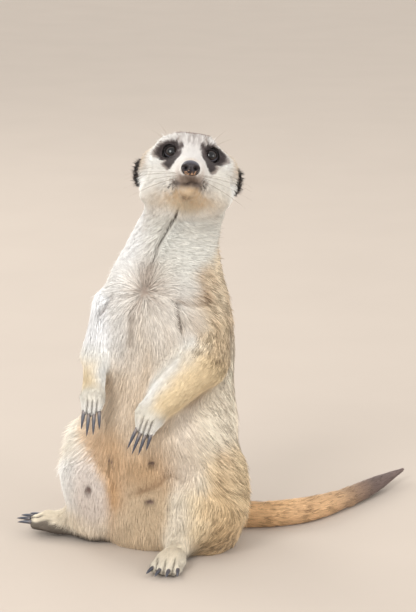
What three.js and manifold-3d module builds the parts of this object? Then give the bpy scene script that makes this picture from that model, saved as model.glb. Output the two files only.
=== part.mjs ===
// A meerkat sitting upright on its rump, at life size, as a still museum model. Millimetres.
// The floor is z = 0 with +Z up. The origin is the middle of the flat that the rump sits on.
// The animal looks along -Y, so its left side is at +X. Every outline is that of the coat, out to its tips.
//
// Flesh is built from forms: signed distances that melt into each other. Each form is given a skin of
// triangles, then solids cut the skin into the parts that a person would name, GAP apart.

import * as THREE from "three";
import { mergeVertices } from "three/addons/utils/BufferGeometryUtils.js";
import Module from "manifold-3d";

const wasm = await Module();
wasm.setup();

const at = (x, y, z) => new THREE.Vector3(x, y, z);
const UP = at(0, 0, 1);
const SIDES = { l: 1, r: -1 };

// ---------------------------------------------------------------- driving sizes

const GAP = 0.3; // between any two pieces that touch
const SPACE = 600; // wider than the animal
const SINK = 0.7; // how far the coat under a foot or the tail is pressed flat

// The edge of a triangle on each kind of surface.
const CELL = { trunk: 12.4, neck: 9.8, head: 5.7, arm: 7.6, leg: 10.4, hand: 4.4, foot: 5.8, ear: 3.3 };

// The middles of the trunk, from the seat up, and how far the coat reaches across, fore-and-aft and up.
const TRUNK = [
  { middle: at(3, -12, 17), reach: at(36, 23, 26) }, // lap
  { middle: at(4, 6, 32), reach: at(42, 42, 42) }, // rump
  { middle: at(7, -1, 78), reach: at(50, 46, 47) }, // belly
  { middle: at(12, -4, 130), reach: at(43, 37, 45) }, // chest
  { middle: at(9.5, -6, 165), reach: at(38.5, 31, 32) }, // shoulders
];
const TRUNK_TURN = new THREE.Euler(0, 0, THREE.MathUtils.degToRad(-20)); // the belly faces the right
const TRUNK_MELT = 22;
const NECK = { foot: at(14.6, -3, 190), top: at(25, -9, 222), footRadius: 28.9, topRadius: 22.8 };
const THROAT = { foot: at(14, -10, 200), top: at(22, -18, 227), footRadius: 20.5, topRadius: 19.5 };

// Where the axial body is cut: a point on each cut and the way up through it.
const HEAD_CUT = { point: at(20, -8, 224), up: at(0.02, -0.1, 1) };
const NECK_CUT = { point: at(14, -3, 191), up: at(0.14, -0.1, 1) };
const WAIST_CUT = { point: at(9, -3, 108), up: at(0.08, 0, 1) };

// The head stands on this frame: the point between the eyes, tipped back, turned and tilted.
const BETWEEN_EYES = at(27, -33, 260);
const HEAD_TURN = new THREE.Euler(
  THREE.MathUtils.degToRad(-28),
  THREE.MathUtils.degToRad(6),
  THREE.MathUtils.degToRad(0.5),
  "ZYX",
);
const EYE = { radius: 5.3, aside: 11.8, ahead: -3.2, up: 0 };
const NOSE = { reach: at(5.9, 4.6, 4.6), ahead: 25.6, up: -18.6 };
const EAR = { aside: 28.4, ahead: -30, up: -5.6, reach: at(7.4, 4.4, 9.6), sweep: 0.6 };

// Shoulder, elbow and wrist, then hip, knee and ankle, each with the radius of the coat there.
const ARM = {
  l: { joints: [at(33, -15, 155), at(33.5, -37, 127.5), at(2, -56, 99.5)], radii: [18.6, 16.5, 9.6] },
  r: { joints: [at(-23, -8, 157), at(-34.5, -17, 128), at(-35, -45, 110)], radii: [14, 9, 7.2] },
};
const LEG = {
  l: { joints: [at(30, 6, 40), at(38, -38, 30), at(22, -38, 11)], radii: [26, 21, 12.5] },
  r: { joints: [at(-24, 6, 42), at(-39, -16, 46), at(-38, -12, 17)], radii: [24, 16.5, 15] },
};
const HAUNCH = {
  l: { middle: at(35.5, -13, 35), reach: at(28, 41, 48) },
  r: { middle: at(-32.5, -3, 46), reach: at(26, 30, 44) },
};

// Front paws hang by the wrist and hind paws stand on the floor. `reach` runs out along the digits, and
// `across` runs from the outermost digit to the innermost one.
// `lift` raises the toes of a hind paw off the floor.
const HAND = { palm: 8, width: 14, thick: 9.5, digit: 7.6, girth: 2.8, fan: 3, claw: 13, clawGirth: 1.45 };
const FOOT = { palm: 36, width: 19.5, thick: 13, digit: 11, girth: 4.3, fan: 8, claw: 8.5, clawGirth: 1.5 };
const PAWS = {
  hand_l: { from: ARM.l.joints[2], reach: at(-0.36, -0.36, -0.86), across: at(0.9, -0.2, -0.36) },
  hand_r: { from: ARM.r.joints[2], reach: at(-0.06, -0.5, -0.87), across: at(1, 0, -0.07) },
  foot_l: { from: at(21.5, -37, 11), reach: at(-0.24, -0.97, 0), across: at(-0.97, 0.24, 0), lift: 0 },
  foot_r: { from: at(-34, -11, 14), reach: at(-0.94, 0.34, 0), across: at(0.34, 0.94, 0), lift: 4 },
};
const DIGITS = 4;
const FILLET = 5; // where a paw grows out of its limb

// The tail leaves the rump low at the back and lies on the floor, round to the left.
const TAIL_PATH = new THREE.CatmullRomCurve3([
  at(12, 28, 14),
  at(36, 25, 10.5),
  at(66, 18, 8.5),
  at(98, 26, 8.3),
  at(126, 53, 6.8),
  at(150, 85, 6.4),
  at(177, 123, 8),
]);
const TAIL_RADII = [14, 11, 9.2, 8.9, 7.4, 6.2, 1.2];
const TAIL_STEPS = 20;
const TAIL_SIDES = 8;
const TAIL_CUTS = [0.36, 0.68]; // shares of the tail's length

// ---------------------------------------------------------------- finishes

const finish = (color, roughness) => new THREE.MeshStandardMaterial({ color, roughness, metalness: 0 });
const FINISHES = {
  coatWhite: finish(0xe6e0d4, 0.9),
  coatTan: finish(0xc8b08a, 0.9),
  coatBelly: finish(0xcdb394, 0.9),
  coatTail: finish(0xa98657, 0.9),
  coatTip: finish(0x3d2f28, 0.9),
  earBlack: finish(0x2a2422, 0.85),
  eye: finish(0x1b1310, 0.08),
  nose: finish(0x3a2a25, 0.4),
  claw: finish(0x3a3b40, 0.4),
};

// ---------------------------------------------------------------- forms

/** A shape held as its signed distance, negative inside, with a box that the whole shape lies in. */
class Form {
  constructor(distance, box) {
    this.distance = distance;
    this.box = box;
  }

  static ellipsoid(middle, reach, turn = new THREE.Euler()) {
    const back = new THREE.Quaternion().setFromEuler(turn).invert();
    const p = new THREE.Vector3();
    const q = new THREE.Vector3();
    const distance = (point) => {
      p.copy(point).sub(middle).applyQuaternion(back).divide(reach);
      const near = p.length();
      return (near * (near - 1)) / (q.copy(p).divide(reach).length() + 1e-9);
    };
    const most = Math.max(reach.x, reach.y, reach.z);
    const size = at(1, 1, 1).multiplyScalar(2 * most);
    return new Form(distance, new THREE.Box3().setFromCenterAndSize(middle, size));
  }

  static bone(from, to, fromRadius, toRadius) {
    const along = to.clone().sub(from);
    const reach = along.lengthSq();
    const p = new THREE.Vector3();
    const distance = (point) => {
      const share = THREE.MathUtils.clamp(p.copy(point).sub(from).dot(along) / reach, 0, 1);
      return p.addScaledVector(along, -share).length() - THREE.MathUtils.lerp(fromRadius, toRadius, share);
    };
    const most = Math.max(fromRadius, toRadius);
    return new Form(distance, new THREE.Box3().setFromPoints([from, to]).expandByScalar(most));
  }

  /** This form and others, with a fillet about `soft` wide wherever they meet. */
  melt(soft, ...others) {
    return others.reduce((whole, other) => {
      const distance = (point) => {
        const a = whole.distance(point);
        const b = other.distance(point);
        const mix = Math.max(soft - Math.abs(a - b), 0) / soft;
        return Math.min(a, b) - (mix * mix * soft) / 4;
      };
      return new Form(distance, whole.box.clone().union(other.box).expandByScalar(soft / 4));
    }, this);
  }

  /** This form with others scooped out of it, and the rim rounded. */
  scoop(soft, ...others) {
    return others.reduce((whole, other) => {
      const distance = (point) => {
        const a = whole.distance(point);
        const b = -other.distance(point);
        const mix = Math.max(soft - Math.abs(a - b), 0) / soft;
        return Math.max(a, b) + (mix * mix * soft) / 4;
      };
      return new Form(distance, whole.box);
    }, this);
  }

  grown(by) {
    return new Form((point) => this.distance(point) - by, this.box.clone().expandByScalar(by));
  }
}

/**
 * Fills in a corner wherever the inside of a form touches itself across a grid square by two corners only, so
 * that no edge of its skin is shared by four triangles.
 */
function joinCorners(values, strides, cell) {
  let joined = 1;
  while (joined) {
    joined = 0;
    for (let n = 0; n < values.length; n++)
      for (let axis = 0; axis < 3; axis++) {
        const one = n + strides[axis];
        const two = n + strides[(axis + 1) % 3];
        const both = one + two - n;
        if (both >= values.length) continue;
        const inside = values[n] < 0;
        if (values[both] < 0 !== inside || values[one] < 0 === inside || values[two] < 0 === inside) continue;
        const [a, b] = inside ? [one, two] : [n, both];
        values[values[a] < values[b] ? a : b] = -0.02 * cell;
        joined++;
      }
  }
}

/**
 * A closed skin of triangles about `cell` wide over a form, with one vertex in each grid cell that the
 * surface crosses. `grow` lifts the same triangles off the surface, so that a grown skin goes round a plain
 * one evenly.
 */
function skinOf(form, cell, grow = 0, within = form.box) {
  const low = within.min.clone().subScalar(2 * cell);
  const count = within.max.clone().sub(low).divideScalar(cell).addScalar(3).floor();
  const strides = [1, count.x, count.x * count.y];
  const values = new Float32Array(count.x * count.y * count.z);
  const point = new THREE.Vector3();
  const cells = { x: count.x - 1, y: count.y - 1, z: count.z - 1 };
  const place = (i, j, k) => point.set(low.x + i * cell, low.y + j * cell, low.z + k * cell);
  for (let k = 0, n = 0; k < count.z; k++)
    for (let j = 0; j < count.y; j++)
      for (let i = 0; i < count.x; i++, n++) {
        const edge = i < 1 || j < 1 || k < 1 || i >= cells.x || j >= cells.y || k >= cells.z;
        values[n] = edge ? cell : form.distance(place(i, j, k));
      }
  joinCorners(values, strides, cell);

  const vertices = [];
  const vertexOf = new Int32Array(values.length).fill(-1);
  const probe = new THREE.Vector3();
  const slope = new THREE.Vector3();
  /** Moves a point onto the true surface, along the slope of the distance, then out by `grow`. */
  const settle = (p) => {
    const step = 0.05 * cell;
    for (let pass = 0; pass < 3; pass++) {
      const here = form.distance(p);
      slope.set(
        form.distance(probe.copy(p).setX(p.x + step)) - here,
        form.distance(probe.copy(p).setY(p.y + step)) - here,
        form.distance(probe.copy(p).setZ(p.z + step)) - here,
      ).divideScalar(step);
      const move = THREE.MathUtils.clamp(-here / (slope.lengthSq() + 1e-9), -cell / 3, cell / 3);
      p.addScaledVector(slope, move);
    }
    return p.addScaledVector(slope.normalize(), grow);
  };
  for (let k = 0; k < cells.z; k++)
    for (let j = 0; j < cells.y; j++)
      for (let i = 0; i < cells.x; i++) {
        const n = i + j * strides[1] + k * strides[2];
        const middle = new THREE.Vector3();
        let crossings = 0;
        for (let corner = 0; corner < 8; corner++)
          for (let axis = 0; axis < 3; axis++) {
            if (corner & (1 << axis)) continue;
            const a = [corner & 1, (corner >> 1) & 1, corner >> 2];
            const start = n + a[0] + a[1] * strides[1] + a[2] * strides[2];
            const from = values[start];
            const to = values[start + strides[axis]];
            if (from < 0 === to < 0) continue;
            a[axis] += from / (from - to);
            middle.add(probe.set(...a));
            crossings++;
          }
        if (!crossings) continue;
        middle.divideScalar(crossings).add(probe.set(i, j, k)).multiplyScalar(cell).add(low);
        vertexOf[n] = vertices.length;
        vertices.push(settle(middle));
      }

  const faces = [];
  const quad = (a, b, c, d) => {
    const [p, q, r, s] = [a, b, c, d].map((v) => vertices[v]);
    if (p.distanceToSquared(r) < q.distanceToSquared(s)) faces.push(a, b, c, a, c, d);
    else faces.push(a, b, d, b, c, d);
  };
  for (let n = 0; n < values.length; n++)
    for (let axis = 0; axis < 3; axis++) {
      const next = n + strides[axis];
      if (next >= values.length || values[n] < 0 === values[next] < 0) continue;
      const one = strides[(axis + 1) % 3];
      const two = strides[(axis + 2) % 3];
      const ring = [n, n - one, n - one - two, n - two].map((c) => vertexOf[c]);
      if (values[n] >= 0) ring.reverse();
      quad(...ring);
    }
  const geometry = new THREE.BufferGeometry().setFromPoints(vertices);
  geometry.setIndex(faces);
  return geometry;
}

// ---------------------------------------------------------------- solids

/** A closed geometry as a solid that can be joined and cut. */
function solidOf(geometry) {
  const bare = geometry.clone();
  bare.deleteAttribute("normal");
  bare.deleteAttribute("uv");
  const merged = mergeVertices(bare, 1e-4);
  const vertProperties = new Float32Array(merged.attributes.position.array);
  return new wasm.Manifold(
    new wasm.Mesh({ numProp: 3, vertProperties, triVerts: new Uint32Array(merged.index.array) }),
  );
}

/** Everything past a point, on the side that a direction points to. */
function beyond(point, direction) {
  const box = new THREE.BoxGeometry(SPACE, SPACE, SPACE).translate(0, 0, SPACE / 2);
  const turn = new THREE.Quaternion().setFromUnitVectors(UP, direction.clone().normalize());
  return solidOf(box.applyQuaternion(turn).translate(point.x, point.y, point.z));
}

/** The two halves of a solid on either side of a thin cut. */
function part(solid, point, direction) {
  const half = direction.clone().setLength(GAP / 2);
  return [
    solid.subtract(beyond(point.clone().sub(half), direction)),
    solid.intersect(beyond(point.clone().add(half), direction)),
  ];
}

/** The largest piece of a solid, without the slivers that a cut leaves beside it. */
const largest = (solid) => solid.decompose().sort((a, b) => b.volume() - a.volume())[0];

const FLOOR = beyond(at(0, 0, 0), UP);

const model = new THREE.Group();

/** Adds one named piece, whose own origin is at `pivot`. */
function addPiece(name, solid, material, pivot, shift = pivot.clone().negate()) {
  const { numProp, numVert, vertProperties, triVerts } = largest(solid).getMesh();
  const positions = new Float32Array(numVert * 3);
  for (let i = 0; i < numVert; i++) {
    positions.set(vertProperties.subarray(i * numProp, i * numProp + 3), i * 3);
  }
  const geometry = new THREE.BufferGeometry();
  geometry.setAttribute("position", new THREE.BufferAttribute(positions, 3));
  geometry.setIndex(new THREE.BufferAttribute(triVerts, 1));
  geometry.translate(shift.x, shift.y, shift.z);
  geometry.computeVertexNormals();
  const mesh = new THREE.Mesh(geometry, material);
  mesh.name = name;
  mesh.position.copy(pivot);
  model.add(mesh);
}

// ---------------------------------------------------------------- head

const headFrame = new THREE.Matrix4().makeRotationFromEuler(HEAD_TURN).setPosition(BETWEEN_EYES);

/** A point of the head, measured from between the eyes: to the left, ahead and up. */
const onHead = (aside, ahead, up) => at(aside, -ahead, up).applyMatrix4(headFrame);

/** An ellipsoid that is square to the head. */
const headBall = (aside, ahead, up, wide, long, high) =>
  Form.ellipsoid(onHead(aside, ahead, up), at(wide, long, high), HEAD_TURN);

function headForm() {
  const skull = headBall(0, -22, -6, 25, 26, 23.5);
  const brow = headBall(0, -5, 5.5, 19.5, 14, 9);
  const muzzle = Form.bone(onHead(0, -3, -10), onHead(0, 21.5, -19), 14.5, 8);
  const jaw = Form.bone(onHead(0, -12, -24), onHead(0, 17, -26.5), 15, 5.6);
  const cheeks = Object.values(SIDES).map((side) => headBall(side * 15.5, -15, -16, 16, 19, 17));
  const temples = Object.values(SIDES).map((side) => headBall(side * 19.5, -23, -3, 11, 12, 11));
  const sockets = Object.values(SIDES).map((side) => headBall(side * 17.5, 6.6, -0.4, 8.6, 7.6, 6.8));
  return skull.melt(9, brow, ...cheeks, ...temples).melt(8, muzzle).melt(5, jaw).scoop(4, ...sockets);
}

const eyeSolid = (middle, grow = 0) =>
  solidOf(new THREE.SphereGeometry(EYE.radius + grow, 10, 7).translate(middle.x, middle.y, middle.z));

function earForm(side) {
  const middle = onHead(side * EAR.aside, EAR.ahead, EAR.up);
  const turn = new THREE.Euler(HEAD_TURN.x, HEAD_TURN.y, HEAD_TURN.z + side * EAR.sweep, "ZYX");
  const cup = Form.ellipsoid(middle, EAR.reach, turn);
  const hollow = Form.ellipsoid(
    onHead(side * (EAR.aside + 0.6), EAR.ahead + 5.2, EAR.up - 0.5), at(4.4, 5.2, 7), turn,
  );
  return cup.scoop(1, hollow);
}

// ---------------------------------------------------------------- axial body

const trunkForms = TRUNK.map(({ middle, reach }) => Form.ellipsoid(middle, reach, TRUNK_TURN));
const neckForm = Form.bone(NECK.foot, NECK.top, NECK.footRadius, NECK.topRadius);
const throatForm = Form.bone(THROAT.foot, THROAT.top, THROAT.footRadius, THROAT.topRadius);
const trunkForm = trunkForms[0].melt(TRUNK_MELT, ...trunkForms.slice(1)).melt(14, neckForm);
const axialForm = trunkForm.melt(12, headForm()).melt(10, throatForm);

/** The slab of the axial body between two heights, with room to spare for its slanted cuts. */
function axialSlab(low, high, cell, grow = 0) {
  const within = axialForm.box.clone();
  within.min.z = low;
  within.max.z = high;
  return solidOf(skinOf(axialForm, cell, grow, within));
}

const trunkSlab = (grow) => axialSlab(-10, NECK.foot.z + 30, CELL.trunk, grow);
const trunkSolid = trunkSlab(0).intersect(FLOOR);
let taken = trunkSlab(GAP); // what the next limb or the tail has to stay out of

const [belly, upperTrunk] = part(trunkSolid, WAIST_CUT.point, WAIST_CUT.up);
const [chest] = part(upperTrunk, NECK_CUT.point, NECK_CUT.up);
addPiece("belly", belly, FINISHES.coatBelly, at(0, 0, 0));
addPiece("chest", chest, FINISHES.coatBelly, WAIST_CUT.point);

const neckSolid = axialSlab(NECK.foot.z - 22, NECK.top.z + 22, CELL.neck);
const [neck] = part(part(neckSolid, NECK_CUT.point, NECK_CUT.up)[1], HEAD_CUT.point, HEAD_CUT.up);
addPiece("neck", neck, FINISHES.coatWhite, NECK_CUT.point);

function addHead() {
  const noseAt = onHead(0, NOSE.ahead, NOSE.up);
  const noseSolid = (grow) => solidOf(
    new THREE.SphereGeometry(1, 10, 7)
      .scale(NOSE.reach.x + grow, NOSE.reach.y + grow, NOSE.reach.z + grow)
      .applyQuaternion(new THREE.Quaternion().setFromEuler(HEAD_TURN))
      .translate(noseAt.x, noseAt.y, noseAt.z),
  );
  const around = new THREE.Box3().setFromCenterAndSize(onHead(0, -4, -10), at(90, 110, 90));
  const whole = (grow) => solidOf(skinOf(axialForm, CELL.head, grow, around));
  const room = whole(GAP); // what the ears have to stay out of
  let head = part(whole(0), HEAD_CUT.point, HEAD_CUT.up)[1].subtract(noseSolid(GAP));
  for (const [letter, side] of Object.entries(SIDES)) {
    const eyeAt = onHead(side * EYE.aside, EYE.ahead, EYE.up);
    const ear = solidOf(skinOf(earForm(side), CELL.ear)).subtract(room);
    head = head.subtract(eyeSolid(eyeAt, GAP));
    addPiece("eye_" + letter, eyeSolid(eyeAt), FINISHES.eye, eyeAt);
    addPiece("ear_" + letter, ear, FINISHES.earBlack, onHead(side * EAR.aside, EAR.ahead, EAR.up));
  }
  addPiece("nose", noseSolid(0), FINISHES.nose, noseAt);
  addPiece("head", head, FINISHES.coatWhite, HEAD_CUT.point);
}
addHead();

// ---------------------------------------------------------------- paws

/** One claw, hooked towards the sole, from its root in the digit to its point. */
function clawSolid(root, along, down, length, girth, grow = 0) {
  const claw = new THREE.CylinderGeometry(0.3 + grow, girth + grow, length + 2 * grow, 5, 2);
  claw.translate(0, length / 2, 0);
  const points = claw.getAttribute("position");
  for (let i = 0; i < points.count; i++) {
    const share = points.getY(i) / length;
    points.setZ(i, points.getZ(i) * 1.25 + 0.16 * length * share * share);
  }
  const basis = new THREE.Matrix4().makeBasis(along.clone().cross(down), along, down);
  return solidOf(claw.applyMatrix4(basis).translate(root.x, root.y, root.z));
}

/** A paw: palm, four digits fanned out from it and a claw in each. */
function makePaw({ from, reach, across, lift = 0 }, grounded) {
  const size = grounded ? FOOT : HAND;
  const start = grounded ? from.clone().setZ(size.thick / 2 - SINK) : from.clone();
  const along = reach.clone().setLength(size.palm).setZ(grounded ? lift : reach.z * size.palm).normalize();
  const side = across.clone().addScaledVector(along, -across.dot(along)).normalize();
  const down = grounded ? along.clone().cross(side).normalize() : side.clone().cross(along).normalize();
  const knuckles = start.clone().addScaledVector(along, size.palm);
  const turn = new THREE.Euler().setFromRotationMatrix(
    new THREE.Matrix4().makeBasis(side, along, side.clone().cross(along)),
  );
  const ball = knuckles.clone().addScaledVector(along, -size.width / 4);
  const pad = Form.ellipsoid(ball, at(size.width / 2, size.width / 1.7, size.thick / 2), turn);
  const palm = Form.bone(start, knuckles, size.thick / 2, size.thick / 2 - 0.4).melt(5, pad);
  let form = palm;
  const claws = [];
  for (let i = 0; i < DIGITS; i++) {
    const place = i / (DIGITS - 1) - 0.5; // from -1/2 on the outermost digit to 1/2 on the innermost
    const longer = 1 - 0.9 * place * place; // the middle digits reach furthest
    const spread = THREE.MathUtils.degToRad(size.fan) * place * 3;
    const heading = along.clone().multiplyScalar(Math.cos(spread)).addScaledVector(side, Math.sin(spread));
    const root = knuckles.clone()
      .addScaledVector(side, place * (size.width - 2 * size.girth))
      .addScaledVector(along, -size.digit / 3);
    if (grounded) root.addScaledVector(down, size.thick / 2 - size.girth - 1.6);
    const tip = root.clone().addScaledVector(heading, (size.digit * 4 * longer) / 3);
    if (grounded) tip.addScaledVector(down, 1.4);
    form = form.melt(1.6, Form.bone(root, tip, size.girth * 1.05, size.girth * 0.92));
    const clawRoot = tip.clone()
      .addScaledVector(heading, size.girth - 2)
      .addScaledVector(down, -size.girth / 4);
    claws.push((grow) => clawSolid(clawRoot, heading, down, size.claw, size.clawGirth, grow));
  }
  return { palm, form, claws };
}

// ---------------------------------------------------------------- limbs

/** Cuts a limb where one bone meets the next, between the two. */
function cutAtJoint(solid, before, joint, after) {
  const back = before.clone().sub(joint).normalize();
  const on = after.clone().sub(joint).normalize();
  return part(solid, joint, on.sub(back));
}

function addLimb(letter, { joints, radii }, bulk, names, pawName, cells, grounded) {
  const [top, bend, end] = joints;
  const bones = [Form.bone(top, bend, radii[0], radii[1]), Form.bone(bend, end, radii[1], radii[2])];
  const upperForm = bulk ? bulk.melt(10, bones[0]) : bones[0];
  const paw = makePaw(PAWS[pawName], grounded);
  const boneForm = upperForm.melt(6, bones[1]);
  const limbForm = boneForm.melt(FILLET, paw.palm);
  const toes = end.clone().add(PAWS[pawName].reach);
  const whole = solidOf(skinOf(limbForm, cells.limb));
  const limb = whole.subtract(taken).intersect(FLOOR);
  const [upper, lower] = cutAtJoint(limb, top, bend, end);
  const around = paw.form.box.clone().expandByScalar(4);
  const fine = solidOf(skinOf(boneForm.melt(FILLET, paw.form), cells.paw, 0, around));
  const pawRoom = (grow) => solidOf(skinOf(paw.form.grown(FILLET / 3), cells.paw, grow));
  let shank = lower;
  let hand = fine.subtract(taken).intersect(FLOOR);
  if (grounded) {
    shank = shank.subtract(pawRoom(GAP));
    hand = hand.intersect(pawRoom(0));
  } else {
    shank = cutAtJoint(shank, bend, end, toes)[0];
    hand = cutAtJoint(cutAtJoint(hand, top, bend, end)[1], bend, end, toes)[1];
  }
  paw.claws.forEach((claw, i) => {
    hand = hand.subtract(claw(GAP));
    addPiece(pawName.replace("_", "_claw" + (i + 1) + "_"), claw(0).intersect(FLOOR), FINISHES.claw, end);
  });
  const colour = grounded ? FINISHES.coatTan : FINISHES.coatWhite;
  addPiece(names[0] + "_" + letter, upper, colour, top);
  addPiece(names[1] + "_" + letter, shank, colour, bend);
  addPiece(pawName, hand, FINISHES.coatWhite, end);
  taken = taken.add(solidOf(skinOf(limbForm, cells.limb, GAP)));
}

for (const letter of Object.keys(SIDES)) {
  const haunch = Form.ellipsoid(HAUNCH[letter].middle, HAUNCH[letter].reach);
  const cells = { leg: { limb: CELL.leg, paw: CELL.foot }, arm: { limb: CELL.arm, paw: CELL.hand } };
  addLimb(letter, LEG[letter], haunch, ["thigh", "shin"], "foot_" + letter, cells.leg, true);
  addLimb(letter, ARM[letter], null, ["upper_arm", "forearm"], "hand_" + letter, cells.arm, false);
}

// ---------------------------------------------------------------- tail

/** A closed tube along the tail's path, with its radius at each named point. */
function tailSolid() {
  const tube = new THREE.CylinderGeometry(1, 1, 1, TAIL_SIDES, TAIL_STEPS);
  const frames = TAIL_PATH.computeFrenetFrames(TAIL_STEPS);
  const last = TAIL_RADII.length - 1;
  const points = tube.getAttribute("position");
  const p = new THREE.Vector3();
  for (let n = 0; n < points.count; n++) {
    p.fromBufferAttribute(points, n);
    const share = p.y + 0.5;
    const step = Math.round(share * TAIL_STEPS);
    const i = Math.min(Math.floor(share * last), last - 1);
    const radius = THREE.MathUtils.lerp(TAIL_RADII[i], TAIL_RADII[i + 1], share * last - i);
    const spot = TAIL_PATH.getPoint(share)
      .addScaledVector(frames.binormals[step], p.x * radius)
      .addScaledVector(frames.normals[step], p.z * radius);
    points.setXYZ(n, spot.x, spot.y, spot.z);
  }
  return solidOf(tube);
}

function addTail() {
  let rest = tailSolid().subtract(taken).intersect(FLOOR);
  const names = ["tail_root", "tail_middle", "tail_tip"];
  TAIL_CUTS.forEach((share, i) => {
    const [near, far] = part(rest, TAIL_PATH.getPoint(share), TAIL_PATH.getTangent(share));
    addPiece(names[i], near, FINISHES.coatTail, TAIL_PATH.getPoint(share));
    rest = far;
  });
  addPiece(names[2], rest, FINISHES.coatTip, TAIL_PATH.getPoint(1));
}
addTail();

export default model;
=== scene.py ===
"""A meerkat sitting up on its rump, at life size, as a still museum model.

One skin lies over all the flesh solids, below them by the depth of the coat. The coat is a great many
thin tufts on that skin, and they carry the skin's own markings. The eyes, lids, nose, ears, claws and
whiskers are pieces of their own.
"""

import logging
import math
from dataclasses import dataclass, field
from enum import Enum

import bmesh
import bpy
import numpy as np
from mathutils import Matrix, Vector
from mathutils.bvhtree import BVHTree
from mathutils.kdtree import KDTree


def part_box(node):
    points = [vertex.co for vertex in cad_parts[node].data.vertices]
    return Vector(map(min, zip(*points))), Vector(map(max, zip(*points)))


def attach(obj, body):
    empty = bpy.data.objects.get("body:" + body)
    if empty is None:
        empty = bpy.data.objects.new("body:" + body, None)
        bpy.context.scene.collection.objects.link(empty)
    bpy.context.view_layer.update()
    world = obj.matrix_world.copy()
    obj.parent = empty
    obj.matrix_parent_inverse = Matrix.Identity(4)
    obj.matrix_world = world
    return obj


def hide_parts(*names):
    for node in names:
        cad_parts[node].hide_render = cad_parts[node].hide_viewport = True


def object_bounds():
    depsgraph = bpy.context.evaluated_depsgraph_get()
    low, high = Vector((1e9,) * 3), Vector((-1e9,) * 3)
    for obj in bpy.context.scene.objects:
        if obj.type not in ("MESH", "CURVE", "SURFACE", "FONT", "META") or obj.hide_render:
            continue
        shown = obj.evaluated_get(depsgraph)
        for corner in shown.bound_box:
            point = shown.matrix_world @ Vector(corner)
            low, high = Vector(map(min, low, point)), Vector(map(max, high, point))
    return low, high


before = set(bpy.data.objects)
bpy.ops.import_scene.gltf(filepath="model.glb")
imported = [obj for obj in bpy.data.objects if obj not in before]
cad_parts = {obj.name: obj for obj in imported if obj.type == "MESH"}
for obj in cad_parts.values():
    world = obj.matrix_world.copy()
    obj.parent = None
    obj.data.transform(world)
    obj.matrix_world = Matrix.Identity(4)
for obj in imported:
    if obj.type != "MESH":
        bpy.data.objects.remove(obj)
CAD_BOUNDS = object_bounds()

LOG = logging.getLogger("meerkat")
MM = 0.001
BODY = "root"
COLOUR = "coat_colour"
TUFT_MAP = "OFBake"
SIDES = {"l": 1.0, "r": -1.0}

Array = np.ndarray
Material, Mesh, Object = bpy.types.Material, bpy.types.Mesh, bpy.types.Object
Node, Socket, Shape = bpy.types.Node, bpy.types.NodeSocket, bmesh.types.BMesh
Triple = tuple[float, float, float]
Colour = Triple


# ---- small tools


def tint(red: float, green: float, blue: float) -> Array:
    """Turns a colour on the 0 to 255 scale into the linear values that the shaders use."""
    share = np.array([red, green, blue], float) / 255
    return np.where(share <= 0.04045, share / 12.92, ((share + 0.055) / 1.055) ** 2.4)


def ramp(values: Array, low: float, high: float) -> Array:
    """Grades values smoothly from 0 at low to 1 at high; high may be the lower one."""
    share = np.clip((values - low) / (high - low), 0, 1)
    return share * share * (3 - 2 * share)


def blot(points: Array, at: tuple[float, ...], reach: tuple[float, ...]) -> Array:
    """A soft spot round a point: 1 at its middle, fading over its reach along each axis."""
    return np.exp(-(((points - np.array(at)) / np.array(reach)) ** 2).sum(axis=1))


def bell(values: Array, width: float) -> Array:
    """A soft hump that is 1 at 0 and fades to both sides over a width."""
    return np.exp(-((values / width) ** 2))


def blend(base: Array, colour: Array, share: Array) -> Array:
    """Lays one colour over another, as far as share says at each point."""
    share = np.broadcast_to(np.clip(share, 0, 1), len(base))[:, None]
    return base * (1 - share) + colour * share


def layered(count: int, base: Colour, *layers: tuple[Colour, Array]) -> Array:
    """Gives every vertex of a small piece a base colour and lays others over it.

    Args:
        count: how many vertices it has.
        base: the colour under the others, on the 0 to 255 scale.
        layers: each further colour with the share of it that shows at each vertex.

    Returns:
        Their linear colours.
    """
    colours = np.tile(tint(*base), (count, 1))
    for colour, share in layers:
        colours = blend(colours, tint(*colour), share)
    return colours


def unit(rows: Array) -> Array:
    """Scales each row to a length of 1."""
    return rows / np.maximum(np.linalg.norm(rows, axis=-1, keepdims=True), 1e-9)


def dot(first: Array, second: Array) -> Array:
    """The dot product, row by row."""
    return (first * second).sum(axis=-1)


def grain(points: Array, size: float, seed: int) -> Array:
    """Smooth random values from 0 to 1 in space.

    Args:
        points: where to read them, one row each.
        size: how far apart the ups and downs are.
        seed: which pattern.

    Returns:
        One value for each point.
    """
    cells = points / size + seed * 17.31
    corner = np.floor(cells).astype(np.int64)
    part = cells - corner
    part = part * part * (3 - 2 * part)
    total = np.zeros(len(points))
    for step in np.ndindex(2, 2, 2):
        near = np.array(step)
        share = np.prod(np.where(near == 1, part, 1 - part), axis=1)
        key = corner + near
        mixed = key[:, 0] * 73856093 ^ key[:, 1] * 19349663 ^ key[:, 2] * 83492791
        mixed = (mixed ^ (mixed >> 13)) * 1274126177 & 0x7FFFFFFF
        total += share * ((mixed ^ (mixed >> 15)) & 0xFFFF) / 0xFFFF
    return total


def streaks(points: Array, way: tuple[float, ...], size: float, seed: int, length: float = 0.16) -> Array:
    """Smooth random values from 0 to 1 that are drawn out along one direction.

    Args:
        points: where to read them, one row each.
        way: the direction.
        size: how wide the streaks are.
        seed: which pattern.
        length: the width of a streak as a share of its length.

    Returns:
        One value for each point.
    """
    heading = unit(np.array(way, float))
    along = points @ heading
    return grain(points + ((length - 1) * along)[:, None] * heading, size, seed)


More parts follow.
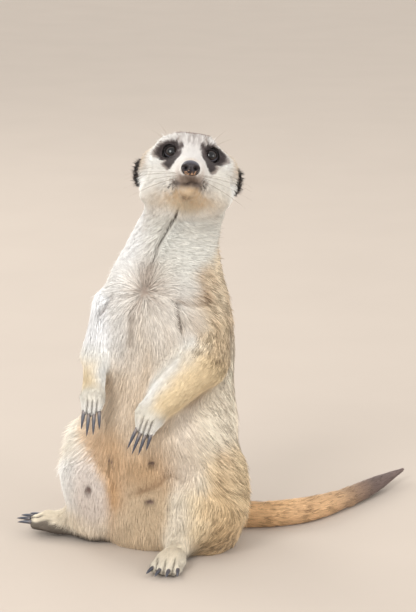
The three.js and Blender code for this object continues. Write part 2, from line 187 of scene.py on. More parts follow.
def line_distance(points: Array, path: Array) -> tuple[Array, Array]:
    """How far each point is from a bent line.

    Args:
        points: the points, one row each.
        path: the line's corners in order.

    Returns:
        The distance, and how far along the line the nearest place is, from 0 to 1.
    """
    best = np.full(len(points), 1e9)
    along = np.zeros(len(points))
    count = len(path) - 1
    for index in range(count):
        start, way = path[index], path[index + 1] - path[index]
        share = np.clip((points - start) @ way / (way @ way), 0, 1)
        gap = np.linalg.norm(points - start - share[:, None] * way, axis=1)
        closer = gap < best
        best = np.where(closer, gap, best)
        along = np.where(closer, (index + share) / count, along)
    return best, along


def front_line(points: Array, path: tuple[tuple[float, ...], ...]) -> tuple[Array, Array]:
    """The same as line_distance, as the body shows from in front: depth hardly counts."""
    return line_distance(points * FROM_IN_FRONT, np.array(path) * FROM_IN_FRONT)


def mirrored(local: Array) -> Array:
    """Points in the head's axes, all on its left side."""
    return np.abs(local) * (1, 0, 0) + local * (0, 1, 1)


def middle_of(node: str) -> Array:
    """The middle of a solid's box in millimetres."""
    low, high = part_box(node)
    return np.array((low + high) / 2) / MM


def mesh_values(items: bpy.types.bpy_prop_collection, key: str, width: int, kind: type = np.float32) -> Array:
    """Reads a value of all vertices, edges or loops of a mesh into rows.

    Args:
        items: the mesh's vertices, edges or loops.
        key: the value to read.
        width: the numbers in a row.
        kind: the type of number.

    Returns:
        One row for each item.
    """
    flat = np.zeros(len(items) * {"vertices": 2, "co": 3}.get(key, 1), kind)
    items.foreach_get(key, flat)
    return flat.reshape(-1, width)


def node_points(node: str) -> Array:
    """All vertices of a solid in millimetres."""
    return mesh_values(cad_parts[node].data.vertices, "co", 3).astype(float) / MM


def mesh_from_arrays(name: str, points: Array, triangles: Array) -> Mesh:
    """Makes a mesh of triangles from arrays, which a coat of this many tufts needs.

    Args:
        name: the mesh's name.
        points: the vertices in millimetres.
        triangles: three vertex numbers a row.

    Returns:
        The mesh, smooth shaded.
    """
    mesh = bpy.data.meshes.new(name)
    mesh.vertices.add(len(points))
    mesh.vertices.foreach_set("co", (points * MM).astype(np.float32).ravel())
    mesh.loops.add(triangles.size)
    mesh.loops.foreach_set("vertex_index", triangles.astype(np.int32).ravel())
    mesh.polygons.add(len(triangles))
    mesh.polygons.foreach_set("loop_start", np.arange(0, triangles.size, 3, dtype=np.int32))
    mesh.update(calc_edges=True)
    mesh.polygons.foreach_set("use_smooth", np.ones(len(triangles), bool))
    return mesh


def paint(mesh: Mesh, colours: Array) -> None:
    """Stores a linear colour on each vertex.

    Args:
        mesh: the mesh to colour.
        colours: three values a vertex.
    """
    layer = mesh.color_attributes.new(COLOUR, "FLOAT_COLOR", "POINT")
    full = np.ones((len(colours), 4), np.float32)
    full[:, :3] = np.clip(colours, 0, 1)
    layer.data.foreach_set("color", full.ravel())


def add_object(name: str, data: bpy.types.ID) -> Object:
    """Puts an object into the scene.

    Args:
        name: the object's name.
        data: what it shows.

    Returns:
        The object.
    """
    made = bpy.data.objects.new(name, data)
    bpy.context.scene.collection.objects.link(made)
    return made


def place(name: str, mesh: Mesh, finish: Material) -> Object:
    """Puts a finished mesh into the scene as a piece on the body.

    Args:
        name: the piece's name.
        mesh: its mesh, in place.
        finish: its material.

    Returns:
        The new object.
    """
    piece = add_object(name, mesh)
    mesh.materials.clear()
    mesh.materials.append(finish)
    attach(piece, BODY)
    LOG.info("%s: %d faces", name, len(mesh.polygons))
    return piece


def mesh_from_bmesh(name: str, shape: Shape) -> Mesh:
    """Closes a bmesh into a smooth shaded mesh.

    Args:
        name: the mesh's name.
        shape: the bmesh in metres, which is freed.

    Returns:
        The mesh.
    """
    bmesh.ops.recalc_face_normals(shape, faces=shape.faces)
    for face in shape.faces:
        face.smooth = True
    mesh = bpy.data.meshes.new(name)
    shape.to_mesh(mesh)
    shape.free()
    return mesh


def reshape(shape: Shape, points: Array) -> None:
    """Moves the vertices of a bmesh to new places, one row each, in millimetres."""
    for vertex, point in zip(shape.verts, points):
        vertex.co = Vector(point * MM)


def turn_and_move(shape: Shape, vertices: list, way: Array, to: Array) -> None:
    """Turns vertices from straight up to a direction, and then moves them, in millimetres.

    Args:
        shape: the bmesh.
        vertices: the vertices to move.
        way: where their own Z axis should point.
        to: where they are moved to.
    """
    turn = Vector((0, 0, 1)).rotation_difference(Vector(way)).to_matrix()
    bmesh.ops.rotate(shape, verts=vertices, cent=(0, 0, 0), matrix=turn)
    bmesh.ops.translate(shape, verts=vertices, vec=Vector(to * MM))


def bmesh_points(shape: Shape) -> Array:
    """The vertices of a bmesh in millimetres."""
    return np.array([vertex.co[:] for vertex in shape.verts]) / MM


# ---- finishes


class Nodes:
    """A material's node tree with short calls to add to it."""

    def __init__(self, name: str) -> None:
        """Starts a material.

        Args:
            name: its name.
        """
        self.material = bpy.data.materials.new(name)
        self.material.use_nodes = True
        self.tree = self.material.node_tree
        self.shader = self.tree.nodes["Principled BSDF"]

    def add(self, kind: str, **settings: object) -> Node:
        """Adds a node.

        Args:
            kind: Blender's name for it.
            settings: its properties, or its inputs where the name starts with in_.

        Returns:
            The node.
        """
        node = self.tree.nodes.new(kind)
        for key, value in settings.items():
            if key.startswith("in_"):
                node.inputs[key[3:].replace("_", " ")].default_value = value
            else:
                setattr(node, key, value)
        return node

    def link(self, start: Socket, end: Socket) -> None:
        """Joins two sockets."""
        self.tree.links.new(start, end)

    def set(self, **values: object) -> None:
        """Sets the shader's own sockets, with spaces written as underscores."""
        for key, value in values.items():
            self.shader.inputs[key.replace("_", " ")].default_value = value

    def noise(
        self, scale: float, detail: float, stretch: Triple = (1.0, 1.0, 1.0)
    ) -> Node:
        """Adds a noise pattern on Object coordinates.

        Args:
            scale: how fine it is.
            detail: how many finer layers it has.
            stretch: the Mapping node's scale along each axis.

        Returns:
            The noise node.
        """
        place_node = self.add("ShaderNodeTexCoord")
        mapping = self.add("ShaderNodeMapping", in_Scale=stretch)
        noise = self.add("ShaderNodeTexNoise", in_Scale=scale, in_Detail=detail)
        self.link(place_node.outputs["Object"], mapping.inputs["Vector"])
        self.link(mapping.outputs["Vector"], noise.inputs["Vector"])
        return noise

    def mottle(self, noise: Node, low: float, high: float) -> None:
        """Gives the shader the vertices' colours, dimmed and brightened by a noise.

        Args:
            noise: the noise node.
            low: the darkest that it makes a colour.
            high: the brightest.
        """
        colour = self.add("ShaderNodeAttribute", attribute_name=COLOUR)
        span = self.add("ShaderNodeMapRange", in_To_Min=low, in_To_Max=high)
        mix = self.add("ShaderNodeVectorMath", operation="SCALE")
        self.link(noise.outputs["Fac"], span.inputs["Value"])
        self.link(colour.outputs["Color"], mix.inputs[0])
        self.link(span.outputs["Result"], mix.inputs["Scale"])
        self.link(mix.outputs["Vector"], self.shader.inputs["Base Color"])

    def bump(self, height: Socket, strength: float, distance: float) -> None:
        """Gives the shader a bump from a height.

        Args:
            height: the relief.
            strength: how strongly it shows.
            distance: the depth in metres that a height of 1 stands for.
        """
        bump = self.add("ShaderNodeBump", in_Strength=strength, in_Distance=distance)
        self.link(height, bump.inputs["Height"])
        self.link(bump.outputs["Normal"], self.shader.inputs["Normal"])


@dataclass(frozen=True)
class Finish:
    """A surface coloured by its vertices, with a fine mottling.

    Attributes:
        name: the material's name.
        roughness: how dull it is.
        scale: how fine the mottling is.
        bump: how strong the mottling's bump is, or 0.
    """

    name: str
    roughness: float = 0.75
    scale: float = 700.0
    bump: float = 0.0

    DETAIL = 3.0
    STRETCH = (1.0, 1.0, 1.0)
    DARKEST, BRIGHTEST = 0.9, 1.06
    BUMP_HEIGHT = 0.4

    def make(self) -> Material:
        """Builds the material.

        Returns:
            The material.
        """
        nodes = Nodes(self.name)
        noise = nodes.noise(self.scale, self.DETAIL, self.STRETCH)
        nodes.mottle(noise, self.DARKEST, self.BRIGHTEST)
        nodes.set(Roughness=self.roughness, **self.shine())
        if self.bump:
            nodes.bump(noise.outputs["Fac"], self.bump, self.BUMP_HEIGHT * MM)
        return nodes.material

    def shine(self) -> dict[str, float]:
        """The shader's other sockets."""
        return {}


@dataclass(frozen=True)
class CoatFinish(Finish):
    """Fur or furred skin, which catches light at its edges."""

    sheen: float = 0.12

    def shine(self) -> dict[str, float]:
        """The shader's other sockets."""
        return {"Sheen_Weight": self.sheen, "Sheen_Roughness": 0.5, "Specular_IOR_Level": 0.25}


@dataclass(frozen=True)
class WetFinish(Finish):
    """Bare moist skin or a wet eye, under a clear coat of some weight and dullness."""

    coat: float = 1.0
    coat_roughness: float = 0.02

    DETAIL = 4.0
    DARKEST, BRIGHTEST = 0.8, 1.2
    BUMP_HEIGHT = 0.3

    def shine(self) -> dict[str, float]:
        """The shader's other sockets."""
        clear = {"Coat_Weight": self.coat, "Coat_Roughness": self.coat_roughness, "Coat_IOR": 1.38}
        return {"Specular_IOR_Level": 0.12, **clear}


@dataclass(frozen=True)
class HornFinish(Finish):
    """Dark horn with faint lengthwise streaks."""

    STRETCH = (1.0, 1.0, 0.25)
    DARKEST, BRIGHTEST = 0.75, 1.25
    BUMP_HEIGHT = 0.2

    def shine(self) -> dict[str, float]:
        """The shader's other sockets."""
        return {"Coat_Weight": 0.3, "Coat_Roughness": 0.2}


@dataclass(frozen=True)
class FloorFinish:
    """Pale matt board with a very faint grain."""

    name: str = "floor_board"
    colour: Triple = (0.50, 0.435, 0.375)

    def make(self) -> Material:
        """Builds the material.

        Returns:
            The material.
        """
        nodes = Nodes(self.name)
        noise = nodes.noise(9.0, 4.0)
        colours = nodes.add("ShaderNodeValToRGB")
        colours.color_ramp.elements[0].color = (*[0.96 * c for c in self.colour], 1)
        colours.color_ramp.elements[1].color = (*[min(1.03 * c, 1) for c in self.colour], 1)
        nodes.link(noise.outputs["Fac"], colours.inputs["Fac"])
        nodes.link(colours.outputs["Color"], nodes.shader.inputs["Base Color"])
        nodes.set(Roughness=0.9, Specular_IOR_Level=0.1)
        return nodes.material


# ---- the head's own axes


@dataclass(frozen=True)
class HeadAxes:
    """Where the head is and how it is held, read from the eyes and the nose.

    Attributes:
        middle: the point halfway between the eyes.
        aside: towards the animal's left.
        ahead: the way the face looks.
        up: out of the crown.
    """

    middle: Array
    aside: Array
    ahead: Array
    up: Array

    @classmethod
    def read(cls, nose_drop: float = 32.85) -> "HeadAxes":
        """Reads the axes from the frame.

        Args:
            nose_drop: how far below the way the face looks the nose lies, in degrees.

        Returns:
            The axes.
        """
        left, right, nose = middle_of("eye_l"), middle_of("eye_r"), middle_of("nose")
        middle = (left + right) / 2
        aside = unit(left - right)
        reach = nose - middle
        reach = unit(reach - (reach @ aside) * aside)
        lift = np.cross(reach, aside)
        turn = math.radians(nose_drop)
        ahead = math.cos(turn) * reach + math.sin(turn) * lift
        return cls(middle, aside, ahead, np.cross(ahead, aside))

    def local(self, points: Array) -> Array:
        """Points in the head's axes: aside, ahead and up, from between the eyes."""
        return (points - self.middle) @ np.stack([self.aside, self.ahead, self.up], axis=1)

    def world(self, points: Array) -> Array:
        """Points given in the head's axes, back in the model's own."""
        return self.middle + points @ np.stack([self.aside, self.ahead, self.up])

    def turn(self, ways: Array) -> Array:
        """Directions given in the head's axes, in the model's own."""
        return ways @ np.stack([self.aside, self.ahead, self.up])


@dataclass(frozen=True)
class EyeShape:
    """One eye's opening, as seen along the way the eye looks.

    Attributes:
        head: the head's axes.
        tag: l for the left eye, r for the right.
        radius: of the eyeball.
        outward: how far the eye looks out to its side, in degrees.
        down: how far it looks down, in degrees.
        wide: half the opening's width as an angle at the eyeball's middle, in degrees.
        tall: half its height.
        corner: below 2 the corners are pointed.
    """

    head: HeadAxes
    tag: str
    radius: float = 5.25
    outward: float = 7.0
    down: float = 6.0
    wide: float = 49.0
    tall: float = 40.0
    corner: float = 1.75

    @property
    def centre(self) -> Array:
        """The eyeball's middle."""
        return middle_of(f"eye_{self.tag}")

    def axes(self) -> tuple[Array, Array, Array]:
        """The way the eye looks, the direction out to its side, and its up.

        Returns:
            The way it looks, the way to its outer corner, and the way up.
        """
        side, aside = SIDES[self.tag], SIDES[self.tag] * self.head.aside
        out, low = math.radians(self.outward), math.radians(self.down)
        look = np.array([side * math.sin(out), math.cos(out) * math.cos(low), -math.sin(low)])
        look = unit(self.head.turn(look))
        outer = unit(aside - (aside @ look) * look)
        rise = np.cross(look, outer) * side
        return look, outer, rise if rise @ self.head.up > 0 else -rise

    def edge(self, round_angle: Array) -> Array:
        """How far from the middle of the look the lids' edge is.

        Args:
            round_angle: where on the rim, in radians from the outer corner.

        Returns:
            The angle at the eyeball's middle, in radians.
        """
        across = np.abs(np.cos(round_angle)) / math.radians(self.wide)
        upward = np.abs(np.sin(round_angle)) / math.radians(self.tall)
        return (across**self.corner + upward**self.corner) ** (-1 / self.corner)

    def polar(self, points: Array) -> tuple[Array, Array, Array]:
        """Points as seen from the eyeball's middle.

        Args:
            points: in millimetres.

        Returns:
            How far away each is, its angle off the look, and its angle round the look.
        """
        look, outer, rise = self.axes()
        apart = points - self.centre
        away = np.linalg.norm(apart, axis=1)
        off = np.arccos(np.clip(apart @ look / np.maximum(away, 1e-6), -1, 1))
        return away, off, np.arctan2(apart @ rise, apart @ outer)

    def unpolar(self, away: Array, off: Array, around: Array) -> Array:
        """The inverse of polar.

        Args:
            away: distances from the middle.
            off: angles from the way it looks.
            around: angles round that.

        Returns:
            The points.
        """
        look, outer, rise = self.axes()
        flat = np.cos(around)[:, None] * outer + np.sin(around)[:, None] * rise
        way = np.cos(off)[:, None] * look + np.sin(off)[:, None] * flat
        return self.centre + away[:, None] * way


# ---- the skin


@dataclass(frozen=True)
class Growth:
    """How the coat grows on one part of the body, in millimetres.

    Attributes:
        length: of a tuft.
        width: of a tuft where it is thickest.
        crowd: tufts on each square millimetre.
        depth: from the outside of the coat down to the skin.
        soft: how far the skin's form is evened out, from 0 to 1.
    """

    length: float
    width: float
    crowd: float
    depth: float
    soft: float


@dataclass(frozen=True)
class Swell:
    """A soft rise or hollow in the skin, on the face on both sides unless it is told not to."""

    at: Triple
    reach: Triple
    height: float
    both: bool = True


@dataclass(frozen=True)
class Crease:
    """A furrow in the skin, with the darker colour painted along it as shade in the fold; a mark above 0.8
    also parts the coat there, so bare skin shows.
    """

    path: tuple[Triple, ...]
    width: float
    depth: float
    shade: Colour = (120, 104, 92)
    mark: float = 0.0

    def reach(self, points: Array, blunt: float) -> tuple[Array, Array]:
        """How far points are from the furrow, and its share there; blunt ends are shorter."""
        gap, along = front_line(points, self.path)
        return gap, np.clip(np.sin(math.pi * np.clip(along, 0.04, 0.96)) * blunt, 0, 1)


GROWTHS = {
    "head": Growth(5.0, 0.36, 2.3, 1.5, 0.5),
    "neck": Growth(10.0, 0.35, 3.2, 2.6, 1.0),
    "chest": Growth(11.0, 0.34, 3.1, 2.6, 1.0),
    "belly": Growth(12.0, 0.35, 3.0, 2.8, 1.0),
    "upper_arm": Growth(8.0, 0.34, 3.1, 2.2, 0.8),
    "forearm": Growth(6.5, 0.31, 3.4, 1.6, 0.7),
    "hand": Growth(2.8, 0.26, 4.0, 0.6, 0.1),
    "thigh": Growth(13.5, 0.35, 3.5, 3.2, 1.0),
    "shin": Growth(8.5, 0.38, 2.3, 2.2, 0.8),
    "foot": Growth(3.2, 0.3, 3.0, 0.8, 0.15),
    "tail_root": Growth(9.0, 0.4, 2.2, 2.6, 0.8),
    "tail_middle": Growth(8.0, 0.38, 2.4, 2.2, 0.7),
    "tail_tip": Growth(7.0, 0.36, 2.8, 2.0, 0.6),
}

FLESH = (
    *("head", "neck", "chest", "belly"),
    *(f"{part}_{side}" for part in ("upper_arm", "forearm", "hand") for side in SIDES),
    *(f"{part}_{side}" for part in ("thigh", "shin", "foot") for side in SIDES),
    *("tail_root", "tail_middle", "tail_tip"),
)

TRUNK = ("neck", "chest", "belly")
PAWS = ("hand_l", "hand_r", "foot_l", "foot_r")
NOSE_PAD = np.array([0, 28.8, -18.6])
TOE_GAP_DEPTH = 1.3
TOE_GAP_WIDTH = 0.75
FROM_IN_FRONT = np.array([1.0, 0.2, 1.0])

HEAD_SWELLS = (
    Swell((-21.0, 0.0, 6.5), (7.0, 8.0, 5.0), 1.8, False),
    Swell((18.0, -2.0, 8.5), (9.0, 9.0, 6.0), -2.0, False),
    Swell((32.0, -8.0, -11.5), (8.0, 14.0, 12.0), -6.5),
    Swell((-27.0, -8.0, -28.0), (7.0, 10.0, 6.5), 2.6, False),
    Swell((0.0, 3.0, 12.0), (4.0, 8.0, 4.0), -0.7),
    Swell((7.0, 22.0, -22.0), (4.5, 6.0, 3.5), 0.3),
    Swell((0.5, 21.0, -31.0), (7.0, 6.0, 3.0), 0.7),
)

HEAD_CREASES = (
    Crease(((-11.5, 9.5, -21.8), (-7.4, 16.7, -24.3), (-2.5, 24.5, -26.8), (1.6, 26.9, -27.4)), 1.0, 1.1),
    Crease(((1.6, 26.9, -27.4), (5, 23.5, -26.6), (10.6, 12.5, -22.8), (13.4, 8.0, -22.0)), 1.0, 1.1),
    Crease(((0.2, 33.0, -22.0), (1.2, 28.0, -26.5)), 0.6, 0.5),
)

BODY_SWELLS = (
    Swell((1.8, -44.5, 62.3), (2.2, 3.0, 1.5), 1.0),
    Swell((0.3, -40.4, 35.0), (2.3, 3.0, 1.5), 1.0),
    Swell((-39.2, -34.3, 41.1), (1.5, 3.0, 2.3), 0.9),
    Swell((-24.1, -32.4, 59.9), (1.2, 3.0, 1.2), 0.7),
)

THROAT_LINE = (
    *((20.2, -46, 230.5), (17.3, -36, 220.5), (13.2, -33, 213.3), (8.5, -31, 205.0)),
    *((6.1, -31, 200.2), (4.4, -32, 193.2), (2.1, -33, 186.0)),
)
SHOULDER_FOLD = ((14.4, -39, 168.5), (21.3, -38, 165.5), (30, -34, 166), (38, -27, 165.5))
BELLY_FOLD = ((12.6, -43.7, 58), (6.8, -42.1, 49.6), (1, -41.3, 45.3), (-10.6, -37.9, 38.9))

# Each crease's shade colour is painted shade along its fold; the creases that part the coat also show bare
# skin.
BODY_CREASES = (
    Crease(THROAT_LINE, 1.15, 1.1, (64, 54, 48), 1.0),
    Crease(((15.8, -39.3, 168.6), (18.6, -41.1, 156.8), (20.2, -41.5, 146.5)), 1.6, 1.4, (96, 80, 74), 0.92),
    Crease(SHOULDER_FOLD, 2.2, 1.0, (140, 118, 100), 0.75),
    Crease(((-20.9, -22.9, 167.5), (-26.5, -22.2, 159), (-32, -21.4, 150.8)), 1.7, 1.4, (112, 94, 84), 0.85),
    Crease(((-9.2, -34.6, 161), (-10.2, -34.9, 147.5), (-11.3, -34, 135.6)), 2.6, 1.0, (140, 122, 106), 0.7),
    Crease(BELLY_FOLD, 2.6, 1.3, (150, 112, 82), 0.8),
    Crease(((-38, -30, 72), (-28, -33, 58), (-23, -34, 45), (-25, -34, 28)), 1.8, 1.0, (188, 148, 108), 0.75),
    Crease(((10, -42, 58.5), (16, -41.5, 55.5), (22, -40, 55)), 2.0, 1.0, (140, 106, 80), 0.8),
    # Painted shadow under the left forearm, on the flank.
    Crease(((22, -38, 99), (30, -36, 105), (37, -32, 112), (41, -28, 120)), 3.4, 0.4, (150, 122, 96), 0.6),
)


def back_of(turn: Array) -> Array:
    """How far round to the back a turn from the chest's middle is, from 0 to 1."""
    return ramp(np.abs(turn), 60, 110)


def is_fine(node: str) -> bool:
    """Whether a solid is an arm, a paw or the tail, which keep their own outline."""
    return node.startswith(("upper_arm", "forearm", "hand", "foot", "tail"))


def paw_axes(paw: str, points: Array) -> tuple[Array, Array, Array]:
    """Places points across a paw and behind its claws.

    Args:
        paw: the paw's solid.
        points: in millimetres.

    Returns:
        How far across the paw each point is, how far behind the claws' roots it is, and how far across
        the gaps between the fingers are.
    """
    centre = middle_of(paw)
    roots = []
    for digit in range(1, 5):
        claw = node_points(paw.replace("_", f"_claw{digit}_"))
        away = np.linalg.norm(claw - centre, axis=1)
        roots.append(claw[away < np.quantile(away, 0.25) + 1e-6].mean(axis=0))
    roots = np.array(roots)
    ahead = unit(roots.mean(axis=0) - centre)
    side = roots[3] - roots[0]
    side = unit(side - (side @ ahead) * ahead)
    across = (points - centre) @ side
    places = (roots - centre) @ side
    reach = np.interp(across, places, (roots - centre) @ ahead)
    return across, reach - (points - centre) @ ahead, (places[1:] + places[:-1]) / 2


class Net:
    """The neighbours of a mesh's vertices, for evening out values over it."""

    def __init__(self, count: int, edges: Array) -> None:
        """Keeps who is next to whom.

        Args:
            count: how many vertices there are.
            edges: two vertex numbers a row.
        """
        self.count = count
        self.start = np.concatenate([edges[:, 0], edges[:, 1]])
        self.end = np.concatenate([edges[:, 1], edges[:, 0]])
        self.degree = np.maximum(np.bincount(self.start, minlength=count), 1)

    def spread(self, values: Array, rounds: int, share: Array | float = 0.6) -> Array:
        """Moves each value towards the mean of its neighbours, again and again.

        Args:
            values: one or several a vertex.
            rounds: how many times.
            share: how far it moves each time, one for all or one a vertex.

        Returns:
            The new values.
        """
        rows = values.reshape(self.count, -1).astype(float)
        share = np.broadcast_to(np.asarray(share, float).reshape(-1, 1), (self.count, 1))
        for _ in range(rounds):
            near = [np.bincount(self.start, rows[self.end, k], self.count) for k in range(rows.shape[1])]
            rows = rows + share * (np.stack(near, axis=1) / self.degree[:, None] - rows)
        return rows.reshape(values.shape)


def vertex_normals(points: Array, triangles: Array) -> Array:
    """The normals of a mesh's vertices.

    Args:
        points: the vertices.
        triangles: three vertex numbers a row.

    Returns:
        One unit row a vertex.
    """
    corner = points[triangles]
    face = np.cross(corner[:, 1] - corner[:, 0], corner[:, 2] - corner[:, 0])
    total = np.zeros_like(points)
    for k in range(3):
        for axis in range(3):
            total[:, axis] += np.bincount(triangles[:, k], face[:, axis], len(points))
    return unit(total)


class Pelt:
    """A surface that hair grows on, with what the hair needs to know at each vertex.

    Attributes:
        points: the vertices in millimetres.
        triangles: three vertex numbers a row.
        normals: out of the surface.
        part: the number of the solid that each vertex belongs to.
        growth: the tufts' length, width, crowd and depth.
        lie: which way the hair points.
        colour: of the hair, linear.
        speckle: how much single hairs differ.
        parting: where the coat parts, which no hair crosses.
        near_parting: the same, wider.
        nodes: the solids that the numbers in part stand for.
    """

    nodes: tuple[str, ...]
    points: Array
    triangles: Array
    normals: Array
    part: Array
    growth: dict[str, Array]
    lie: Array
    colour: Array
    speckle: Array
    parting: Array
    near_parting: Array

    def nearest(self, points: Array) -> Array:
        """The number of the vertex nearest to each of some points.

        Args:
            points: the points.

        Returns:
            Their nearest vertices.
        """
        if not hasattr(self, "_tree_of_points"):
            tree = KDTree(len(self.points))
            for index, point in enumerate(self.points.tolist()):
                tree.insert(point, index)
            tree.balance()
            self._tree_of_points = tree
        find = self._tree_of_points.find
        return np.array([find(point)[1] for point in points.tolist()], int)


@dataclass
class Skin(Pelt):
    """The one skin over all the flesh.

    Attributes:
        head: the head's axes.
        eyes: both eyes' openings, by side.
        voxel: how fine the joined skin is, in millimetres.
        overlap: how far each solid is fattened so that it meets the next.
        rounds: how many times the form is evened out.
        floor: the lowest that the skin may lie, in millimetres.
    """

    head: HeadAxes
    eyes: dict[str, EyeShape]
    voxel: float = 1.45
    overlap: float = 0.4
    rounds: int = 40
    floor: float = 0.05

    def build(self) -> "Skin":
        """Makes the skin's shape, with all that the coat needs to know at each vertex.

        Returns:
            The skin itself.
        """
        self.nodes = FLESH
        self._solids()
        mesh = self._joined()
        self._take(mesh)
        self._even_out()
        self._refine()
        self._sculpt()
        self._coat_sizes()
        return self

    def dress(self) -> Object:
        """Puts the skin into the scene in place of the flesh solids.

        Returns:
            The piece.
        """
        mesh = mesh_from_arrays("skin", self.points, self.triangles)
        # Painted shade: the skin under the hair is a tenth darker than the coat's colours.
        paint(mesh, self.colour * 0.9)
        finish = CoatFinish("skin", scale=900.0, bump=0.5, sheen=0.1).make()
        piece = place("skin", mesh, finish)
        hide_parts(*FLESH)
        return piece

    def _solids(self) -> None:
        """Keeps the flesh solids as one tree that tells the nearest solid to any point."""
        corners, faces, owner = [], [], []
        for index, node in enumerate(FLESH):
            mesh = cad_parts[node].data
            first = len(corners)
            corners.extend([vertex.co / MM for vertex in mesh.vertices])
            for polygon in mesh.polygons:
                faces.append([first + k for k in polygon.vertices])
                owner.append(index)
        self._tree = BVHTree.FromPolygons(corners, faces)
        self._owner = np.array(owner)

    def _nearest(self) -> tuple[Array, Array]:
        """Which flesh solid each vertex belongs to, and how far outside the solids it is.

        Returns:
            Both, at each vertex.
        """
        owner = np.zeros(len(self.points), int)
        outside = np.zeros(len(self.points))
        for index, point in enumerate(self.points.tolist()):
            place_at, normal, face, gap = self._tree.find_nearest(point)
            owner[index] = face
            apart = Vector(point) - place_at
            outside[index] = gap if apart.dot(normal) > 0 else -gap
        return self._owner[owner], outside

    def _joined(self) -> Mesh:
        """Joins the flesh solids into one closed mesh of small even faces.

        Returns:
            The mesh, for the caller to remove.
        """
        joined = bmesh.new()
        for node in FLESH:
            first = len(joined.verts)
            joined.from_mesh(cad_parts[node].data)
            joined.verts.ensure_lookup_table()
            own = joined.verts[first:]
            bmesh.ops.remove_doubles(joined, verts=own, dist=1e-6)
        joined.normal_update()
        for vertex in joined.verts:
            vertex.co += vertex.normal * self.overlap * MM
        mesh = bpy.data.meshes.new("flesh")
        joined.to_mesh(mesh)
        joined.free()
        scratch = add_object("flesh", mesh)
        remesh = scratch.modifiers.new("even", "REMESH")
        remesh.mode = "VOXEL"
        remesh.voxel_size = self.voxel * MM
        graph = bpy.context.evaluated_depsgraph_get()
        even = bpy.data.meshes.new_from_object(scratch.evaluated_get(graph))
        bpy.data.objects.remove(scratch)
        bpy.data.meshes.remove(mesh)
        return even

    def _take(self, mesh: Mesh) -> None:
        """Reads a mesh's outermost shell into arrays of vertices and triangles.

        Args:
            mesh: the mesh, which is removed.
        """
        shape = bmesh.new()
        shape.from_mesh(mesh)
        bpy.data.meshes.remove(mesh)
        shape.verts.ensure_lookup_table()
        seen = np.zeros(len(shape.verts), bool)
        shells: list[list[bmesh.types.BMVert]] = []
        for vertex in shape.verts:
            if seen[vertex.index]:
                continue
            seen[vertex.index] = True
            shell = [vertex]
            for member in shell:
                for edge in member.link_edges:
                    other = edge.other_vert(member)
                    if not seen[other.index]:
                        seen[other.index] = True
                        shell.append(other)
            shells.append(shell)
        shells.sort(key=len)
        for shell in shells[:-1]:
            bmesh.ops.delete(shape, geom=shell, context="VERTS")
        self._read(shape)

    def _read(self, shape: Shape) -> None:
        """Triangulates a bmesh and keeps it as arrays.

        Args:
            shape: the bmesh, which is freed.
        """
        bmesh.ops.triangulate(shape, faces=shape.faces)
        mesh = bpy.data.meshes.new("skin_shape")
        shape.to_mesh(mesh)
        shape.free()
        self.points = mesh_values(mesh.vertices, "co", 3).astype(float) / MM
        self.triangles = mesh_values(mesh.loops, "vertex_index", 3, np.int32).astype(np.int64)
        self.net = Net(len(self.points), mesh_values(mesh.edges, "vertices", 2, np.int32).astype(np.int64))
        bpy.data.meshes.remove(mesh)
        self.normals = vertex_normals(self.points, self.triangles)

    def on(self, *nodes: str) -> Array:
        """Which vertices belong to the solids named."""
        return np.isin(self.part, [FLESH.index(node) for node in nodes])

    def _values(self, name: str) -> Array:
        """One of the growth values at each vertex, by the solid it belongs to."""
        stems = [node.removesuffix("_l").removesuffix("_r") for node in FLESH]
        return np.array([getattr(GROWTHS[stem], name) for stem in stems])[self.part]

    def _even_out(self) -> None:
        """Rounds off the solids' facets and sinks the skin to the coat's depth."""
        self.part, _ = self._nearest()
        local = self.head.local(self.points)
        soft = self._values("soft")
        soft = np.where(self.on("head"), soft * (1 - 0.7 * ramp(local[:, 1], 2, 14)), soft)
        soft = self.net.spread(soft, 8)
        seam = self._seams(local)
        joint = self._joints()
        self.points = self.net.spread(self.points, self.rounds, 0.6 * soft)
        self.points = self.net.spread(self.points, 3 * self.rounds, 0.6 * seam)
        self.points = self.net.spread(self.points, self.rounds, 0.6 * joint)
        self.normals = vertex_normals(self.points, self.triangles)
        _, outside = self._nearest()
        outside = self.net.spread(np.clip(outside, -3, 1.5), 10)
        outside = np.where(outside > -self._depth(), outside * (1 - 0.7 * np.maximum(seam, joint)), outside)
        depth = self.net.spread(self._depth(), 16)
        self.points = self.points - self.normals * (outside + depth)[:, None]
        self.points = self.net.spread(self.points, 2, 0.5 * soft)

    def _seams(self, local: Array) -> Array:
        """Where one part of the body flows into the next, which the coat fills.

        Args:
            local: the vertices in the head's axes.

        Returns:
            From 0 to 1 at each vertex.
        """
        seam = np.ones(len(self.points))
        for nodes in (("head",), TRUNK, ("thigh_l", "shin_l"), ("thigh_r", "shin_r")):
            seam -= self.net.spread(self.on(*nodes), 50, 0.7) ** 2
        limb = self.net.spread(self.on(*filter(is_fine, FLESH)), 6)
        seam = seam * (1 - limb) * (1 - ramp(local[:, 1], -6, 6))
        return np.clip(1.8 * seam, 0, 1)

    def _joints(self) -> Array:
        """Where one part of a limb or of the tail meets the next, from 0 to 1 at each vertex.

        Returns:
            The share at each vertex.
        """
        apart = np.ones(len(self.points))
        for node in FLESH:
            apart -= self.net.spread(self.on(node), 14) ** 2
        return np.clip(2 * apart, 0, 1) * self.net.spread(self.on(*filter(is_fine, FLESH)), 10)

    def _depth(self) -> Array:
        """The coat's depth at each vertex.

        Returns:
            Millimetres.
        """
        depth = self._values("depth")
        local = self.head.local(self.points)
        face = ramp(np.linalg.norm(local - NOSE_PAD, axis=1), 44, 10) * self.on("head")
        depth = depth * (1 - 0.75 * face)
        end = CAD_BOUNDS[1].x / MM
        depth = depth * (1 - 0.8 * ramp(self.points[:, 0], end - 34, end - 10))
        return np.where(self.points[:, 2] < 1.5, np.minimum(depth, 0.6), depth)

